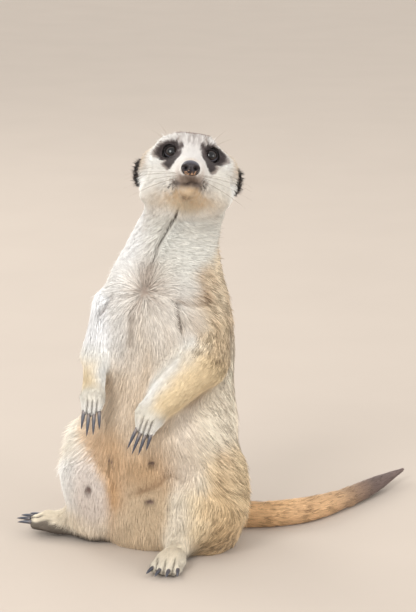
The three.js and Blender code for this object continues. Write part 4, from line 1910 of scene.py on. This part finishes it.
        # Greyish tan under the jaw: partly the throat's own colour, partly painted shade beneath the head.
        throat = ramp(up, -27, -33) * ramp(ahead, -12, 4) * ramp(wide, 24, 8)
        here.lay(Hair.THROAT, 0.75 * throat)
        self._mouth(here, local, hairs)
        here.lay((206, 186, 168), 0.6 * blot(local, (0, 27, -12.5), (5.0, 5, 2.5)))
        here.lay((206, 188, 176), 0.55 * blot(mirrored(local), (8.0, 24, -19.5), (4.0, 7, 6.0)))

    def _mouth(self, here: Swatch, local: Array, hairs: Array) -> None:
        """The chin, the dark hairs round the lips and the line between them, which is partly dark lip and
        partly painted shade in the mouth's groove.

        Args:
            here: the vertices.
            local: the same in the head's axes.
            hairs: random values drawn out like hairs.
        """
        wide = np.abs(local[:, 0])
        spots = grain(local, 1.2, 33)
        chin = blot(local, (0.5, 10, -29.8), (20.0, 24, 5.0)) * (0.55 + 0.8 * grain(local, 2.2, 35))
        here.lay(Hair.CHIN, np.clip(1.15 * chin, 0, 1))
        chin_spot = blot(local, (-1.5, 14, -33.5), (4.5, 4, 2.4)) * ramp(spots, 0.2, 0.6)
        here.lay(Hair.LIP, 0.9 * chin_spot)
        gap = np.minimum(*[line_distance(local, np.array(crease.path))[0] for crease in HEAD_CREASES[:2]])
        here.lay(Hair.LIP, 0.85 * (bell(gap, 3.2) * ramp(hairs + ramp(wide, 12, 2), 0.3, 0.8)))
        above_lip = blot(local, (1.0, 26.0, -24.2), (13.0, 11, 3.9)) * (0.45 + 0.8 * spots)
        here.lay((128, 108, 92), np.clip(1.05 * above_lip, 0, 0.85))
        beard = blot(local, (0.5, 27.0, -24.6), (6.5, 9, 2.6))
        here.lay((96, 78, 66), np.clip(0.95 * beard, 0, 0.8))
        # The mouth's line: partly dark lip skin, partly painted shade in its groove.
        here.lay(Hair.MOUTH, 0.95 * (bell(gap, 1.8) * ramp(wide, 13, 7)))
        for corner in ((-11.5, 11.0, -24.5), (9.0, 14.0, -23.2)):
            mark = np.clip(1.5 * blot(local, corner, (5.0, 8, 3.4)), 0, 1) * ramp(spots, 0.46, 0.58)
            here.lay(Hair.MOUTH, 0.9 * mark)


# ---- the coat


@dataclass
class Piece:
    """One piece of the coat, made of thin tufts.

    Attributes:
        pelt: the surface that it grows on.
        name: its name, ending in front or back where it covers only that side of the trunk.
        nodes: the solids whose part of the surface it grows on.
        order: its number, which seeds its random tufts.
        stray: how far a tuft's direction may differ from the lie, as a share of its length.
        sink: how far below the surface a tuft starts, in millimetres.
        patch: the size of a tuft's place on the piece's map.
        most: the most tufts in it.
        seed: which random tufts.
        parting: where the trunk's front piece meets its back piece, in degrees from the chest's middle.
        roots: what the surface says at each root.
    """

    pelt: Pelt
    name: str
    nodes: tuple[str, ...]
    order: int
    stray: float = 0.13
    sink: float = 0.35
    patch: float = 0.003
    most: int = 33000
    seed: int = 11
    parting: float = 75.0
    roots: dict[str, Array] = field(init=False)

    TUFT = np.array([[0, 1, 2], [0, 2, 3], [0, 3, 1], [2, 1, 4], [3, 2, 4], [1, 3, 4]])
    PATCH = np.array([[0, -0.5], [-0.5, -0.1], [0, 0.12], [0.5, -0.1], [0, 0.5]])
    CLEAR_SHARES = (1.0, 0.85, 0.7, 0.55, 0.4, 0.25, 0.1)

    def dress(self, finish: Material, slot: str) -> None:
        """Grows the tufts and puts them into the scene.

        Args:
            finish: the coat's material.
            slot: not used.
        """
        random = np.random.default_rng(self.seed + self.order)
        self._scatter(random)
        points, colours, normals = self._tufts(random)
        flat = (self._map_places()[:, None, :] + (self.PATCH * self.patch)[None]).reshape(-1, 2)
        first = np.arange(len(points) // 5) * 5
        triangles = (first[:, None, None] + self.TUFT[None]).reshape(-1, 3)
        mesh = mesh_from_arrays(self.name, points, triangles)
        paint(mesh, colours)
        layer = mesh.uv_layers.new(name=TUFT_MAP)
        layer.uv.foreach_set("vector", flat[triangles].astype(np.float32).ravel())
        mesh.normals_split_custom_set_from_vertices(normals.astype(np.float32))
        place(self.name, mesh, finish)

    def _scatter(self, random: np.random.Generator) -> None:
        """Scatters the roots evenly over the surface, and keeps what it says at each.

        Args:
            random: the source of chance.
        """
        pelt = self.pelt
        least = self.parting if self.name.endswith("back") else 0
        most = self.parting if self.name.endswith("front") else 181
        turn = np.abs(trunk_turn(pelt.points[pelt.triangles[:, 0]]))
        wanted = [pelt.nodes.index(node) for node in self.nodes]
        own = np.isin(pelt.part[pelt.triangles[:, 0]], wanted) & (turn >= least) & (turn < most)
        faces = pelt.triangles[own]
        corner = pelt.points[faces]
        area = np.linalg.norm(np.cross(corner[:, 1] - corner[:, 0], corner[:, 2] - corner[:, 0]), axis=1) / 2
        weight = np.cumsum(area * pelt.growth["crowd"][faces].mean(axis=1))
        count = min(int(weight[-1]), self.most)
        stops = (np.arange(count) + random.random(count)) / count * weight[-1]
        face = faces[np.minimum(np.searchsorted(weight, stops), len(faces) - 1)]
        first, second = random.random(count), random.random(count)
        flip = first + second > 1
        first, second = np.where(flip, 1 - first, first), np.where(flip, 1 - second, second)
        share = np.stack([1 - first - second, first, second], axis=1)

        def at(values: Array) -> Array:
            """Values of the surface's vertices at the roots."""
            picked = values[face]
            return (picked * (share if picked.ndim == 2 else share[:, :, None])).sum(axis=1)

        self.roots = {
            "point": at(pelt.points),
            "normal": unit(at(pelt.normals)),
            "lie": unit(at(pelt.lie)),
            "speckle": at(pelt.speckle),
            "part": pelt.part[face[:, 0]],
            **{key: at(values) for key, values in pelt.growth.items()},
        }

    def _map_places(self) -> Array:
        """Finds each root's place on the map, where each solid is rolled off round its long axis.

        Returns:
            A place on the map for each vertex of each tuft.
        """
        rows = math.ceil(math.sqrt(len(self.nodes)))
        places = np.zeros((len(self.roots["point"]), 2))
        for index, node in enumerate(self.nodes):
            own = self.roots["part"] == self.pelt.nodes.index(node)
            if not own.any():
                continue
            solid = node_points(node)
            middle = solid.mean(axis=0)
            axes = np.linalg.svd(solid - middle, full_matrices=False)[2]
            apart = (self.roots["point"][own] - middle) @ axes.T
            length = np.ptp((solid - middle) @ axes[0])
            around = np.arctan2(apart[:, 2], apart[:, 1]) / (2 * math.pi) + 0.5
            along = np.clip(apart[:, 0] / (length * 1.1) + 0.5, 0, 1)
            cell = np.array([index % rows, index // rows])
            places[own] = (cell + 0.03 + 0.94 * np.stack([around, along], axis=1)) / rows
        return np.clip(places, 0.004, 0.996)

    def _tufts(self, random: np.random.Generator) -> tuple[Array, Array, Array]:
        """Makes a spindle of five vertices at each root.

        Args:
            random: the source of chance.

        Returns:
            The vertices, their colours and their normals.
        """
        pelt, roots = self.pelt, self.roots
        count = len(roots["point"])
        normal, lie = roots["normal"], roots["lie"]
        side = np.cross(normal, lie)
        chance = random.random((count, 8))
        shade, bold = self._shades(chance)
        length = roots["length"] * (0.7 + 0.6 * chance[:, 0])
        width = roots["width"] * (0.75 + 0.5 * chance[:, 1]) * (1 + 0.9 * bold)
        rise = roots["depth"] * (0.45 + 0.75 * chance[:, 2]) * (1 + 0.25 * bold)
        swing = (chance[:, 3] - 0.5) * 2 * self.stray
        way = unit(lie + swing[:, None] * side)
        side = np.cross(normal, way)
        length = length * self._reach(way, length)
        bend = (chance[:, 4] - 0.5) * 0.24 * length
        root = roots["point"] - normal * self.sink
        ring = roots["point"] + way * (0.4 * length)[:, None] + normal * (0.7 * rise)[:, None]
        tip = roots["point"] + way * length[:, None] + normal * rise[:, None] + side * bend[:, None]
        half = (width / 2)[:, None]
        corners = [ring - side * half, ring + normal * half * 0.9, ring + side * half]
        under = pelt.nearest(tip)
        above = dot(tip - pelt.points[under], pelt.normals[under])
        down = np.where(random.random(count) < roots["loose"], 0.0, rise - above)
        tip = tip + pelt.normals[under] * down[:, None]
        points = np.stack([root, *corners, tip], axis=1)
        points[:, :, 2] = np.maximum(points[:, :, 2], 0.1)
        base = pelt.colour[pelt.nearest(ring)]
        # Painted shade deep in the coat: each tuft's root is a fifth darker.
        dim = pelt.colour[pelt.nearest(root)] * 0.8
        middle = base * (0.45 + 0.55 * shade)
        end = (0.3 * base + 0.7 * pelt.colour[under]) * shade
        colours = np.stack([dim, middle, middle, middle, end], axis=1)
        own = np.stack([normal, normal * 0.6 - side, normal, normal * 0.6 + side, normal], axis=1)
        normals = unit(0.42 * own + 0.7 * normal[:, None, :])
        return points.reshape(-1, 3), colours.reshape(-1, 3), normals.reshape(-1, 3)

    def _reach(self, way: Array, length: Array) -> Array:
        """How much of each tuft's length it may have before it meets a parting.

        Args:
            way: the tufts' directions.
            length: their full lengths.

        Returns:
            From 0.2 to 1 for each tuft.
        """
        pelt, start = self.pelt, self.roots["point"]
        near = pelt.near_parting[pelt.nearest(start)] > 0.002
        free = np.ones(len(start))
        for share in self.CLEAR_SHARES:
            spot = start[near] + way[near] * (share * length[near])[:, None]
            met = pelt.parting[pelt.nearest(spot)] > 0.35
            free[near] = np.where(met, np.maximum(share - 0.15, 0.2), free[near])
        return free

    def _shades(self, chance: Array) -> tuple[Array, Array]:
        """How much darker or brighter each tuft's end is than the skin there.

        Args:
            chance: random numbers, a row a root.

        Returns:
            Three factors a root, and how bold the tuft is, from 0 to 1.
        """
        speckle = self.roots["speckle"]
        clump = grain(self.roots["point"] * (1.0, 1.0, 0.35), 1.2, 61)
        plain = 0.83 + 0.2 * chance[:, 5] + 0.14 * (clump - 0.3)
        long = ramp(self.roots["length"], 6, 9)
        pale = (chance[:, 6] > 0.86) & (speckle < 0.35)
        dim = (chance[:, 6] < 0.12) & (speckle < 0.35)
        plain = plain * (1 + long * (0.1 * pale - 0.26 * dim))
        dark = (clump + 0.3 * (chance[:, 6] - 0.5) > 0.85 - 0.2 * speckle) & (speckle > 0.25)
        bright = (chance[:, 6] > 1 - 0.25 * speckle) & ~dark
        factor = np.where(dark, 0.2 + 0.2 * chance[:, 7], plain)
        factor = np.where(bright, 1.08 + 0.16 * chance[:, 7], factor)
        warm = np.array([1.0, 0.93, 0.84])
        bold = (dark + 0.45 * bright) * ramp(speckle, 0.35, 0.7) + 0.5 * long * (pale | dim)
        return np.where(dark[:, None], factor[:, None] * warm, factor[:, None]), bold


@dataclass
class Coat:
    """The body's coat, in a few pieces, each on some solids' part of the skin."""

    skin: Skin
    finish: Material

    PIECES = {
        "coat_head": (("head",), "coat_white"),
        "coat_neck": (("neck",), "coat_white"),
        "coat_chest_front": (("chest",), "coat_belly"),
        "coat_chest_back": (("chest",), "coat_belly"),
        "coat_belly_front": (("belly",), "coat_belly"),
        "coat_belly_back": (("belly",), "coat_belly"),
        "coat_arms": (tuple(node for node in FLESH if "arm" in node or "hand" in node), "coat_white"),
        "coat_thigh_l": (("thigh_l",), "coat_tan"),
        "coat_thigh_r": (("thigh_r",), "coat_tan"),
        "coat_lower_legs": (("shin_l", "shin_r", "foot_l", "foot_r"), "coat_tan"),
        "coat_tail": (("tail_root", "tail_middle"), "coat_tail"),
        "coat_tail_tip": (("tail_tip",), "coat_tip"),
    }

    def dress(self) -> None:
        """Makes every piece."""
        for order, (name, (nodes, slot)) in enumerate(self.PIECES.items()):
            Piece(self.skin, name, nodes, order).dress(self.finish, slot)


# ---- eyes, nose, ears, claws, whiskers


@dataclass
class Eyes:
    """The eyeballs and the dark lids round them, with angles in degrees and the lid's thickness."""

    eyes: dict[str, EyeShape]
    iris: float = 46.0
    pupil: float = 21.0
    lid: float = 0.45

    def dress(self) -> None:
        """Makes both eyes and both rings of lids."""
        wet = WetFinish("wet_eye", 0.25, 1500.0).make()
        skin = WetFinish("lid_skin", 0.8, 1800.0, 0.4, coat=0.08, coat_roughness=0.5).make()
        for tag, eye in self.eyes.items():
            self._ball(tag, eye, wet)
            self._lids(tag, eye, skin)

    def _ball(self, tag: str, eye: EyeShape, finish: Material) -> None:
        """One eyeball with its clear bulge, iris and pupil.

        Args:
            tag: l or r.
            eye: the eye.
            finish: its finish.
        """
        shape = bmesh.new()
        bmesh.ops.create_uvsphere(shape, u_segments=72, v_segments=48, radius=eye.radius * MM)
        turn_and_move(shape, shape.verts[:], eye.axes()[0], eye.centre)
        away, off, around = eye.polar(bmesh_points(shape))
        angle = np.degrees(off)
        away = away + 0.35 * np.exp(-((angle / 34) ** 4))
        reshape(shape, eye.unpolar(away, off, around))
        mesh = mesh_from_bmesh(f"eyeball_{tag}", shape)
        slot = np.hypot(np.cos(around) / 1.25, np.sin(around) / 0.95) * angle
        spokes = 0.5 + 0.5 * np.sin(around * 37 + 5 * np.sin(around * 5))
        streaked = spokes * ramp(angle, 20, 34) * ramp(angle, 46, 38)
        rim = ramp(angle, self.iris - 7, self.iris + 1)
        pupil = ramp(slot, self.pupil + 3, self.pupil - 2)
        coats = ((46, 34, 28), streaked), ((20, 16, 15), rim), ((6, 5, 6), pupil)
        paint(mesh, layered(len(angle), (30, 23, 21), *coats))
        piece = place(f"eyeball_{tag}", mesh, finish)
        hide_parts(f"eye_{tag}")

    def _lids(self, tag: str, eye: EyeShape, finish: Material) -> None:
        """One ring of lid skin, thickest at its edge, lying on the eyeball.

        Args:
            tag: l or r.
            eye: the eye.
            finish: their finish.
        """
        ring = math.radians(45)
        shape = bmesh.new()
        made = bmesh.ops.create_circle(shape, cap_ends=False, segments=10, radius=self.lid * MM)
        reach = (eye.radius + 0.3) * MM
        turn = Matrix.Rotation(math.radians(90), 3, "X")
        bmesh.ops.rotate(shape, verts=made["verts"], cent=(0, 0, 0), matrix=turn)
        offset = Vector((math.sin(ring) * reach, 0, math.cos(ring) * reach))
        bmesh.ops.translate(shape, verts=made["verts"], vec=offset)
        bmesh.ops.spin(
            shape,
            geom=shape.edges[:] + shape.verts[:],
            cent=(0, 0, 0),
            axis=(0, 0, 1),
            angle=2 * math.pi,
            steps=64,
            use_merge=True,
        )
        points = bmesh_points(shape)
        away = np.linalg.norm(points, axis=1)
        off = np.arccos(points[:, 2] / away) - ring
        around = np.arctan2(points[:, 1], points[:, 0])
        edge = eye.edge(around) + 1.4 * off
        reshape(shape, eye.unpolar(away, edge + 0.02, around))
        mesh = mesh_from_bmesh(f"lids_{tag}", shape)
        # Painted highlight: a bluish grey reflection along the lower lid's wet edge.
        painted_lid_highlight = 0.3 * ramp(off, 0.05, -0.03) * ramp(np.sin(around), 0.0, -0.6)
        paint(mesh, layered(len(points), (26, 22, 22), ((98, 98, 106), painted_lid_highlight)))
        place(f"lids_{tag}", mesh, finish)


@dataclass
class Nose:
    """The bare nose pad with its nostrils."""

    head: HeadAxes
    reach: Triple = (5.9, 5.0, 4.9)

    def dress(self) -> None:
        """Makes the nose."""
        centre = self.head.local(middle_of("nose")[None])[0]
        shape = bmesh.new()
        bmesh.ops.create_icosphere(shape, subdivisions=6, radius=MM)
        ball = bmesh_points(shape)
        across, ahead, up = ball.T
        taper = 1 - 0.2 * ramp(up, 0.1, -1.0)
        top = 1 + 0.08 * ramp(up, 0, 0.8)
        points = np.stack([across * taper, ahead, up * top], axis=1) * np.array(self.reach)
        front = ramp(ahead, 0.0, 0.6)
        points[:, 1] -= 0.9 * bell(across, 0.1) * front * ramp(up, 0.4, -0.3)
        for side in SIDES.values():
            hole = blot(ball, (side * 0.5, 0.8, -0.18), (0.2, 0.6, 0.22))
            slit = blot(ball, (side * 0.82, 0.55, -0.02), (0.26, 0.6, 0.12))
            points[:, 1] -= 2.6 * hole + 1.3 * slit
            wing = blot(ball, (side * 0.62, 0.7, 0.26), (0.3, 0.5, 0.2))
            points[:, 1] += 0.45 * wing
        points[:, 1] -= 0.35 * ramp(up, 0.5, 1.0)
        reshape(shape, self.head.world(points + centre))
        mesh = mesh_from_bmesh("nose_pad", shape)
        low = ramp(up + 1.4 * (grain(ball, 0.12, 4) - 0.5), -0.72, -0.86)
        # Painted shade: the nostrils near black inside.
        holes = [blot(ball, (side * 0.5, 0.8, -0.18), (0.18, 0.6, 0.2)) for side in SIDES.values()]
        colour = layered(
            len(ball),
            (48, 42, 44),
            # Painted highlight: bluish grey over the top of the nose pad.
            ((88, 88, 98), 0.6 * ramp(up, 0.15, 0.7)),
            ((176, 140, 112), 0.85 * low * ramp(np.abs(across), 0.03, 0.12)),
            *[((16, 12, 12), np.clip(1.3 * hole, 0, 1)) for hole in holes],
        )
        paint(mesh, colour)
        finish = WetFinish("nose_skin", 0.42, 2200.0, 0.7, coat=0.45, coat_roughness=0.28).make()
        piece = place("nose_pad", mesh, finish)
        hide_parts("nose")


@dataclass
class Ears(Pelt):
    """The small rounded black ears, furred all over, set inward a little in millimetres."""

    head: HeadAxes
    finish: Material
    inward: float = 1.4

    GROWTH = {"length": 3.4, "width": 0.3, "crowd": 6.0, "depth": 0.7, "loose": 0.35}

    def dress(self) -> None:
        """Makes both ears and their fur."""
        self.nodes = ("ear_l", "ear_r")
        ears = zip(*[self._ear(tag, side) for tag, side in SIDES.items()])
        points, (left, right), colour, lie = ears
        self.points, self.colour, lie = [np.concatenate(rows) for rows in (points, colour, lie)]
        count = len(points[0])
        self.triangles = np.concatenate([left, right + count])
        self.part = np.repeat([0, 1], count)
        self.normals = vertex_normals(self.points, self.triangles)
        self.lie = unit(lie - dot(lie, self.normals)[:, None] * self.normals)
        every = np.ones(len(self.points))
        self.speckle = 0.3 * every
        self.parting = self.near_parting = 0 * every
        self.growth = {name: value * every for name, value in self.GROWTH.items()}
        Piece(self, "coat_ears", self.nodes, len(Coat.PIECES)).dress(self.finish, "ear")

    def _ear(self, tag: str, side: float) -> tuple[Array, Array, Array, Array]:
        """One ear: a cup open to the side and the front, with an inner fold.

        Args:
            tag: l or r.
            side: 1 for the left ear, -1 for the right.

        Returns:
            Its vertices, triangles, colours and the lie of its hair.
        """
        solid = self.head.local(node_points(f"ear_{tag}"))
        low, high = solid.min(axis=0), solid.max(axis=0)
        centre, half = (low + high) / 2, (high - low) / 2
        shape = bmesh.new()
        bmesh.ops.create_icosphere(shape, subdivisions=5, radius=MM)
        ball = bmesh_points(shape)
        points = ball * (half - 0.4)
        face = np.array([side * 0.55, 0.8, -0.1])
        toward = ball @ unit(face)
        cup = ramp(toward, 0.35, 0.85)
        points -= unit(face)[None] * (3.2 * cup)[:, None]
        fold = blot(ball, (side * 0.35, 0.75, -0.35), (0.28, 0.6, 0.4))
        points += unit(face)[None] * (2.6 * fold)[:, None]
        world = self.head.world(points + centre - np.array([side * self.inward, 0, 0]))
        reshape(shape, world)
        mesh = mesh_from_bmesh(f"pinna_{tag}", shape)
        triangles = np.array([polygon.vertices[:] for polygon in mesh.polygons])
        rim = 0.5 * ramp(np.hypot(ball[:, 1], ball[:, 2]), 0.8, 1.0) * grain(points, 1.5, 71)
        # Painted shade: darker in the ear's hollow.
        colour = layered(len(ball), (66, 57, 55), ((104, 84, 70), rim), ((30, 25, 24), 0.7 * cup))
        paint(mesh, colour)
        piece = place(f"pinna_{tag}", mesh, self.finish)
        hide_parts(f"ear_{tag}")
        outward = np.array([side * 0.9, -0.3, 0.0]) + 0.6 * ball * (0, 1, 1)
        return world, triangles, colour, self.head.turn(unit(outward))


@dataclass
class Claws:
    """The sixteen hooked claws."""

    steps: int = 9
    sides: int = 12
    slim: float = 0.68

    WORN = {
        "hand_claw1_r": 0.84,
        "hand_claw3_r": 0.92,
        "hand_claw4_r": 0.78,
        "hand_claw3_l": 0.92,
        "hand_claw4_l": 0.74,
    }

    def dress(self) -> None:
        """Makes every claw on the line of its solid."""
        finish = HornFinish("claw_horn", 0.34, 900.0, 0.15).make()
        for limb in ("hand", "foot"):
            for tag in SIDES:
                for digit in range(1, 5):
                    self._claw(f"{limb}_claw{digit}_{tag}", finish)

    def _claw(self, node: str, finish: Material) -> None:
        """One claw: a ring of points drawn out along a bent line to a point.

        Args:
            node: its solid.
            finish: its material.
        """
        solid = node_points(node)
        middle = solid.mean(axis=0)
        axis = np.linalg.svd(solid - middle, full_matrices=False)[2][0]
        along = (solid - middle) @ axis
        share = (along - along.min()) / np.ptp(along)
        ends = [solid[share < 0.25], solid[(share > 0.3) & (share < 0.7)], solid[share > 0.75]]
        if np.ptp(ends[0], axis=0).max() < np.ptp(ends[2], axis=0).max():
            ends.reverse()
        base, bow, tip = [rows.mean(axis=0) for rows in ends]
        worn = self.WORN.get(node, 1.0)
        bow, tip = base + worn * (bow - base), base + worn * (tip - base)
        girth = np.linalg.norm(ends[0] - base, axis=1).max() * self.slim
        control = 2 * bow - (base + tip) / 2
        start = base + (base - control) * 0.25
        shape = bmesh.new()
        made = bmesh.ops.create_circle(shape, cap_ends=True, segments=self.sides, radius=girth * MM)
        way = Vector(unit(control - start))
        turn_and_move(shape, made["verts"], way, start)
        ring, last, size = shape.faces[:][0], start, girth
        for step in range(1, self.steps + 1):
            t = step / self.steps
            here = (1 - t) ** 2 * start + 2 * t * (1 - t) * control + t**2 * tip
            thick = girth * (1 - t**1.6) ** 0.75 + 0.06
            new_way = Vector(unit(2 * (1 - t) * (control - start) + 2 * t * (tip - control)))
            grown = bmesh.ops.extrude_face_region(shape, geom=[ring])
            verts = [item for item in grown["geom"] if isinstance(item, bmesh.types.BMVert)]
            faces = [item for item in grown["geom"] if isinstance(item, bmesh.types.BMFace)]
            bmesh.ops.delete(shape, geom=[ring], context="FACES_ONLY")
            ring = faces[0]
            bmesh.ops.translate(shape, verts=verts, vec=Vector((here - last) * MM))
            pivot = Vector(here * MM)
            turn = way.rotation_difference(new_way).to_matrix()
            bmesh.ops.rotate(shape, verts=verts, cent=pivot, matrix=turn)
            for vertex in verts:
                vertex.co = pivot + (vertex.co - pivot) * (thick / size)
            last, size, way = here, thick, new_way
        points = bmesh_points(shape)
        mesh = mesh_from_bmesh(node.replace("claw", "nail"), shape)
        reach = np.clip(np.linalg.norm(points - base, axis=1) / np.linalg.norm(tip - base), 0, 1)
        root, point = ramp(reach, 0.25, 0.0), 0.5 * ramp(reach, 0.85, 1.0)
        coats = ((128, 112, 100), root), ((150, 140, 130), point)
        paint(mesh, layered(len(points), (58, 60, 70), *coats))
        piece = place(node.replace("claw", "nail"), mesh, finish)
        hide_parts(node)


@dataclass
class Whiskers:
    """Long fine hairs on the muzzle, over the eyes and on the cheeks."""

    head: HeadAxes
    skin: Skin
    finish: Material
    girth: float = 0.09
    steps: int = 7

    ROOTS = (
        ((5.5, 24.0, -20.5), (0.95, -0.25, 0.05), 30.0),
        ((7.0, 22.0, -21.5), (0.96, -0.3, -0.08), 34.0),
        ((8.0, 20.0, -20.0), (0.9, -0.4, 0.1), 36.0),
        ((6.0, 23.0, -23.0), (0.93, -0.2, -0.25), 28.0),
        ((8.5, 19.0, -22.5), (0.88, -0.4, -0.18), 32.0),
        ((9.0, 17.5, -18.5), (0.85, -0.45, 0.2), 30.0),
        ((14.0, 6.0, 8.0), (0.55, 0.1, 0.8), 14.0),
        ((17.0, 4.0, 7.0), (0.75, 0.0, 0.6), 13.0),
        ((21.0, 2.0, -11.0), (0.95, -0.15, -0.2), 20.0),
    )

    def dress(self) -> None:
        """Makes all the whiskers as one piece."""
        points, triangles, first = [], [], 0
        surface = BVHTree.FromPolygons(
            [Vector(p) for p in self.skin.points.tolist()], self.skin.triangles.tolist()
        )
        for side in SIDES.values():
            for at, way, length in self.ROOTS:
                mirror = np.array([side, 1, 1])
                near = surface.find_nearest(Vector(self.head.world(np.array(at) * mirror)))[0]
                start = np.array(near)
                heading = unit(self.head.turn(np.array(way) * mirror))
                droop = np.array([0, 0, -0.16]) * length
                ways = unit(np.cross(heading, np.array([0.2, 0.3, 1.0])))
                other = np.cross(heading, ways)
                for step in range(self.steps + 1):
                    t = step / self.steps
                    here = start + heading * length * t + droop * t * t
                    thick = self.girth * (1 - t) ** 0.7 + 0.012
                    for k in range(3):
                        a = k * 2 * math.pi / 3
                        points.append(here + thick * (math.cos(a) * ways + math.sin(a) * other))
                for step in range(self.steps):
                    for k in range(3):
                        a, b = first + step * 3 + k, first + step * 3 + (k + 1) % 3
                        triangles += [[a, b, b + 3], [a, b + 3, a + 3]]
                end = first + self.steps * 3
                triangles += [[first + 2, first + 1, first], [end, end + 1, end + 2]]
                first += (self.steps + 1) * 3
        mesh = mesh_from_arrays("whiskers", np.array(points), np.array(triangles))
        paint(mesh, np.tile(tint(150, 134, 118), (len(points), 1)))
        place("whiskers", mesh, self.finish)


# ---- the studio


@dataclass
class Studio:
    """A pale floor, soft lights and the camera.

    Attributes:
        elevation: how far the camera looks down, in degrees.
        distance: from the camera to what it looks at, in metres.
        lens: its focal length in millimetres.
        aim: what it looks at, as shares of the solids' width and height.
        lit: the point that the lamps face, in metres.
    """

    elevation: float = 13.0
    distance: float = 1.5
    lens: float = 136.8
    aim: tuple[float, float] = (0.4738, 0.5675)
    lit: Triple = (0.01, 0.0, 0.15)

    def dress(self) -> None:
        """Sets all of it up."""
        self._floor()
        self._lights()
        self._camera()

    def _floor(self) -> None:
        """A wide disc under the animal."""
        shape = bmesh.new()
        bmesh.ops.create_circle(shape, cap_ends=True, segments=96, radius=14.0)
        mesh = mesh_from_bmesh("floor", shape)
        for polygon in mesh.polygons:
            if polygon.normal.z < 0:
                mesh.flip_normals()
                break
        floor = add_object("floor", mesh)
        mesh.materials.append(FloorFinish().make())

    def _lamp(self, name: str, at: Triple, size: float, power: float, colour: Triple) -> None:
        """One square soft light.

        Args:
            name: its name.
            at: where it stands, in metres.
            size: of its side.
            power: in watts.
            colour: of its light.
        """
        light = bpy.data.lights.new(name, "AREA")
        light.shape, light.size, light.energy, light.color = "SQUARE", size, power, colour
        lamp = add_object(name, light)
        lamp.location = at
        lamp.rotation_euler = (Vector(self.lit) - Vector(at)).to_track_quat("-Z", "Y").to_euler()

    def _lights(self) -> None:
        """Even light all round, a key from the left, a fill from the right and a rim from behind."""
        world = bpy.data.worlds.new("studio")
        bpy.context.scene.world = world
        world.use_nodes = True
        sky = world.node_tree.nodes["Background"].inputs
        sky["Color"].default_value = (1.0, 0.99, 0.975, 1)
        sky["Strength"].default_value = 1.2
        self._lamp("key", (-0.8, -1.6, 1.2), 0.8, 22, (1.0, 0.99, 0.98))
        self._lamp("fill", (1.5, -1.1, 0.7), 0.9, 11, (1.0, 0.995, 0.99))
        self._lamp("rim", (-1.0, 1.1, 1.1), 0.8, 9, (1.0, 0.98, 0.95))

    def _camera(self) -> None:
        """The camera, in front of the animal and a little above it."""
        low, high = CAD_BOUNDS
        span = high - low
        aim = Vector((low.x + self.aim[0] * span.x, 0.0, low.z + self.aim[1] * span.z))
        rise = math.radians(self.elevation)
        back = Vector((0, -math.cos(rise), math.sin(rise)))
        data = bpy.data.cameras.new("camera")
        data.lens, data.sensor_width = self.lens, 36.0
        data.clip_start, data.clip_end = 0.05, 60.0
        camera = add_object("camera", data)
        camera.location = aim + back * self.distance
        camera.rotation_euler = (-back).to_track_quat("-Z", "Y").to_euler()
        bpy.context.scene.camera = camera


def main() -> None:
    """Builds the animal piece by piece, then the studio."""
    logging.basicConfig(level=logging.INFO, format="%(relativeCreated)6d %(message)s")
    head = HeadAxes.read()
    eyes = {tag: EyeShape(head, tag) for tag in SIDES}
    skin = Skin(head, eyes).build()
    LOG.info("skin shape: %d triangles", len(skin.triangles))
    Lie(skin).build()
    Markings(skin).build()
    LOG.info("lie and colours done")
    skin.dress()
    fur = CoatFinish("fur").make()
    Coat(skin, fur).dress()
    Eyes(eyes).dress()
    Nose(head).dress()
    Ears(head, fur).dress()
    Claws().dress()
    Whiskers(head, skin, fur).dress()
    Studio().dress()
    bpy.context.scene.view_settings.view_transform = "Standard"


if __name__ == "__main__":
    main()
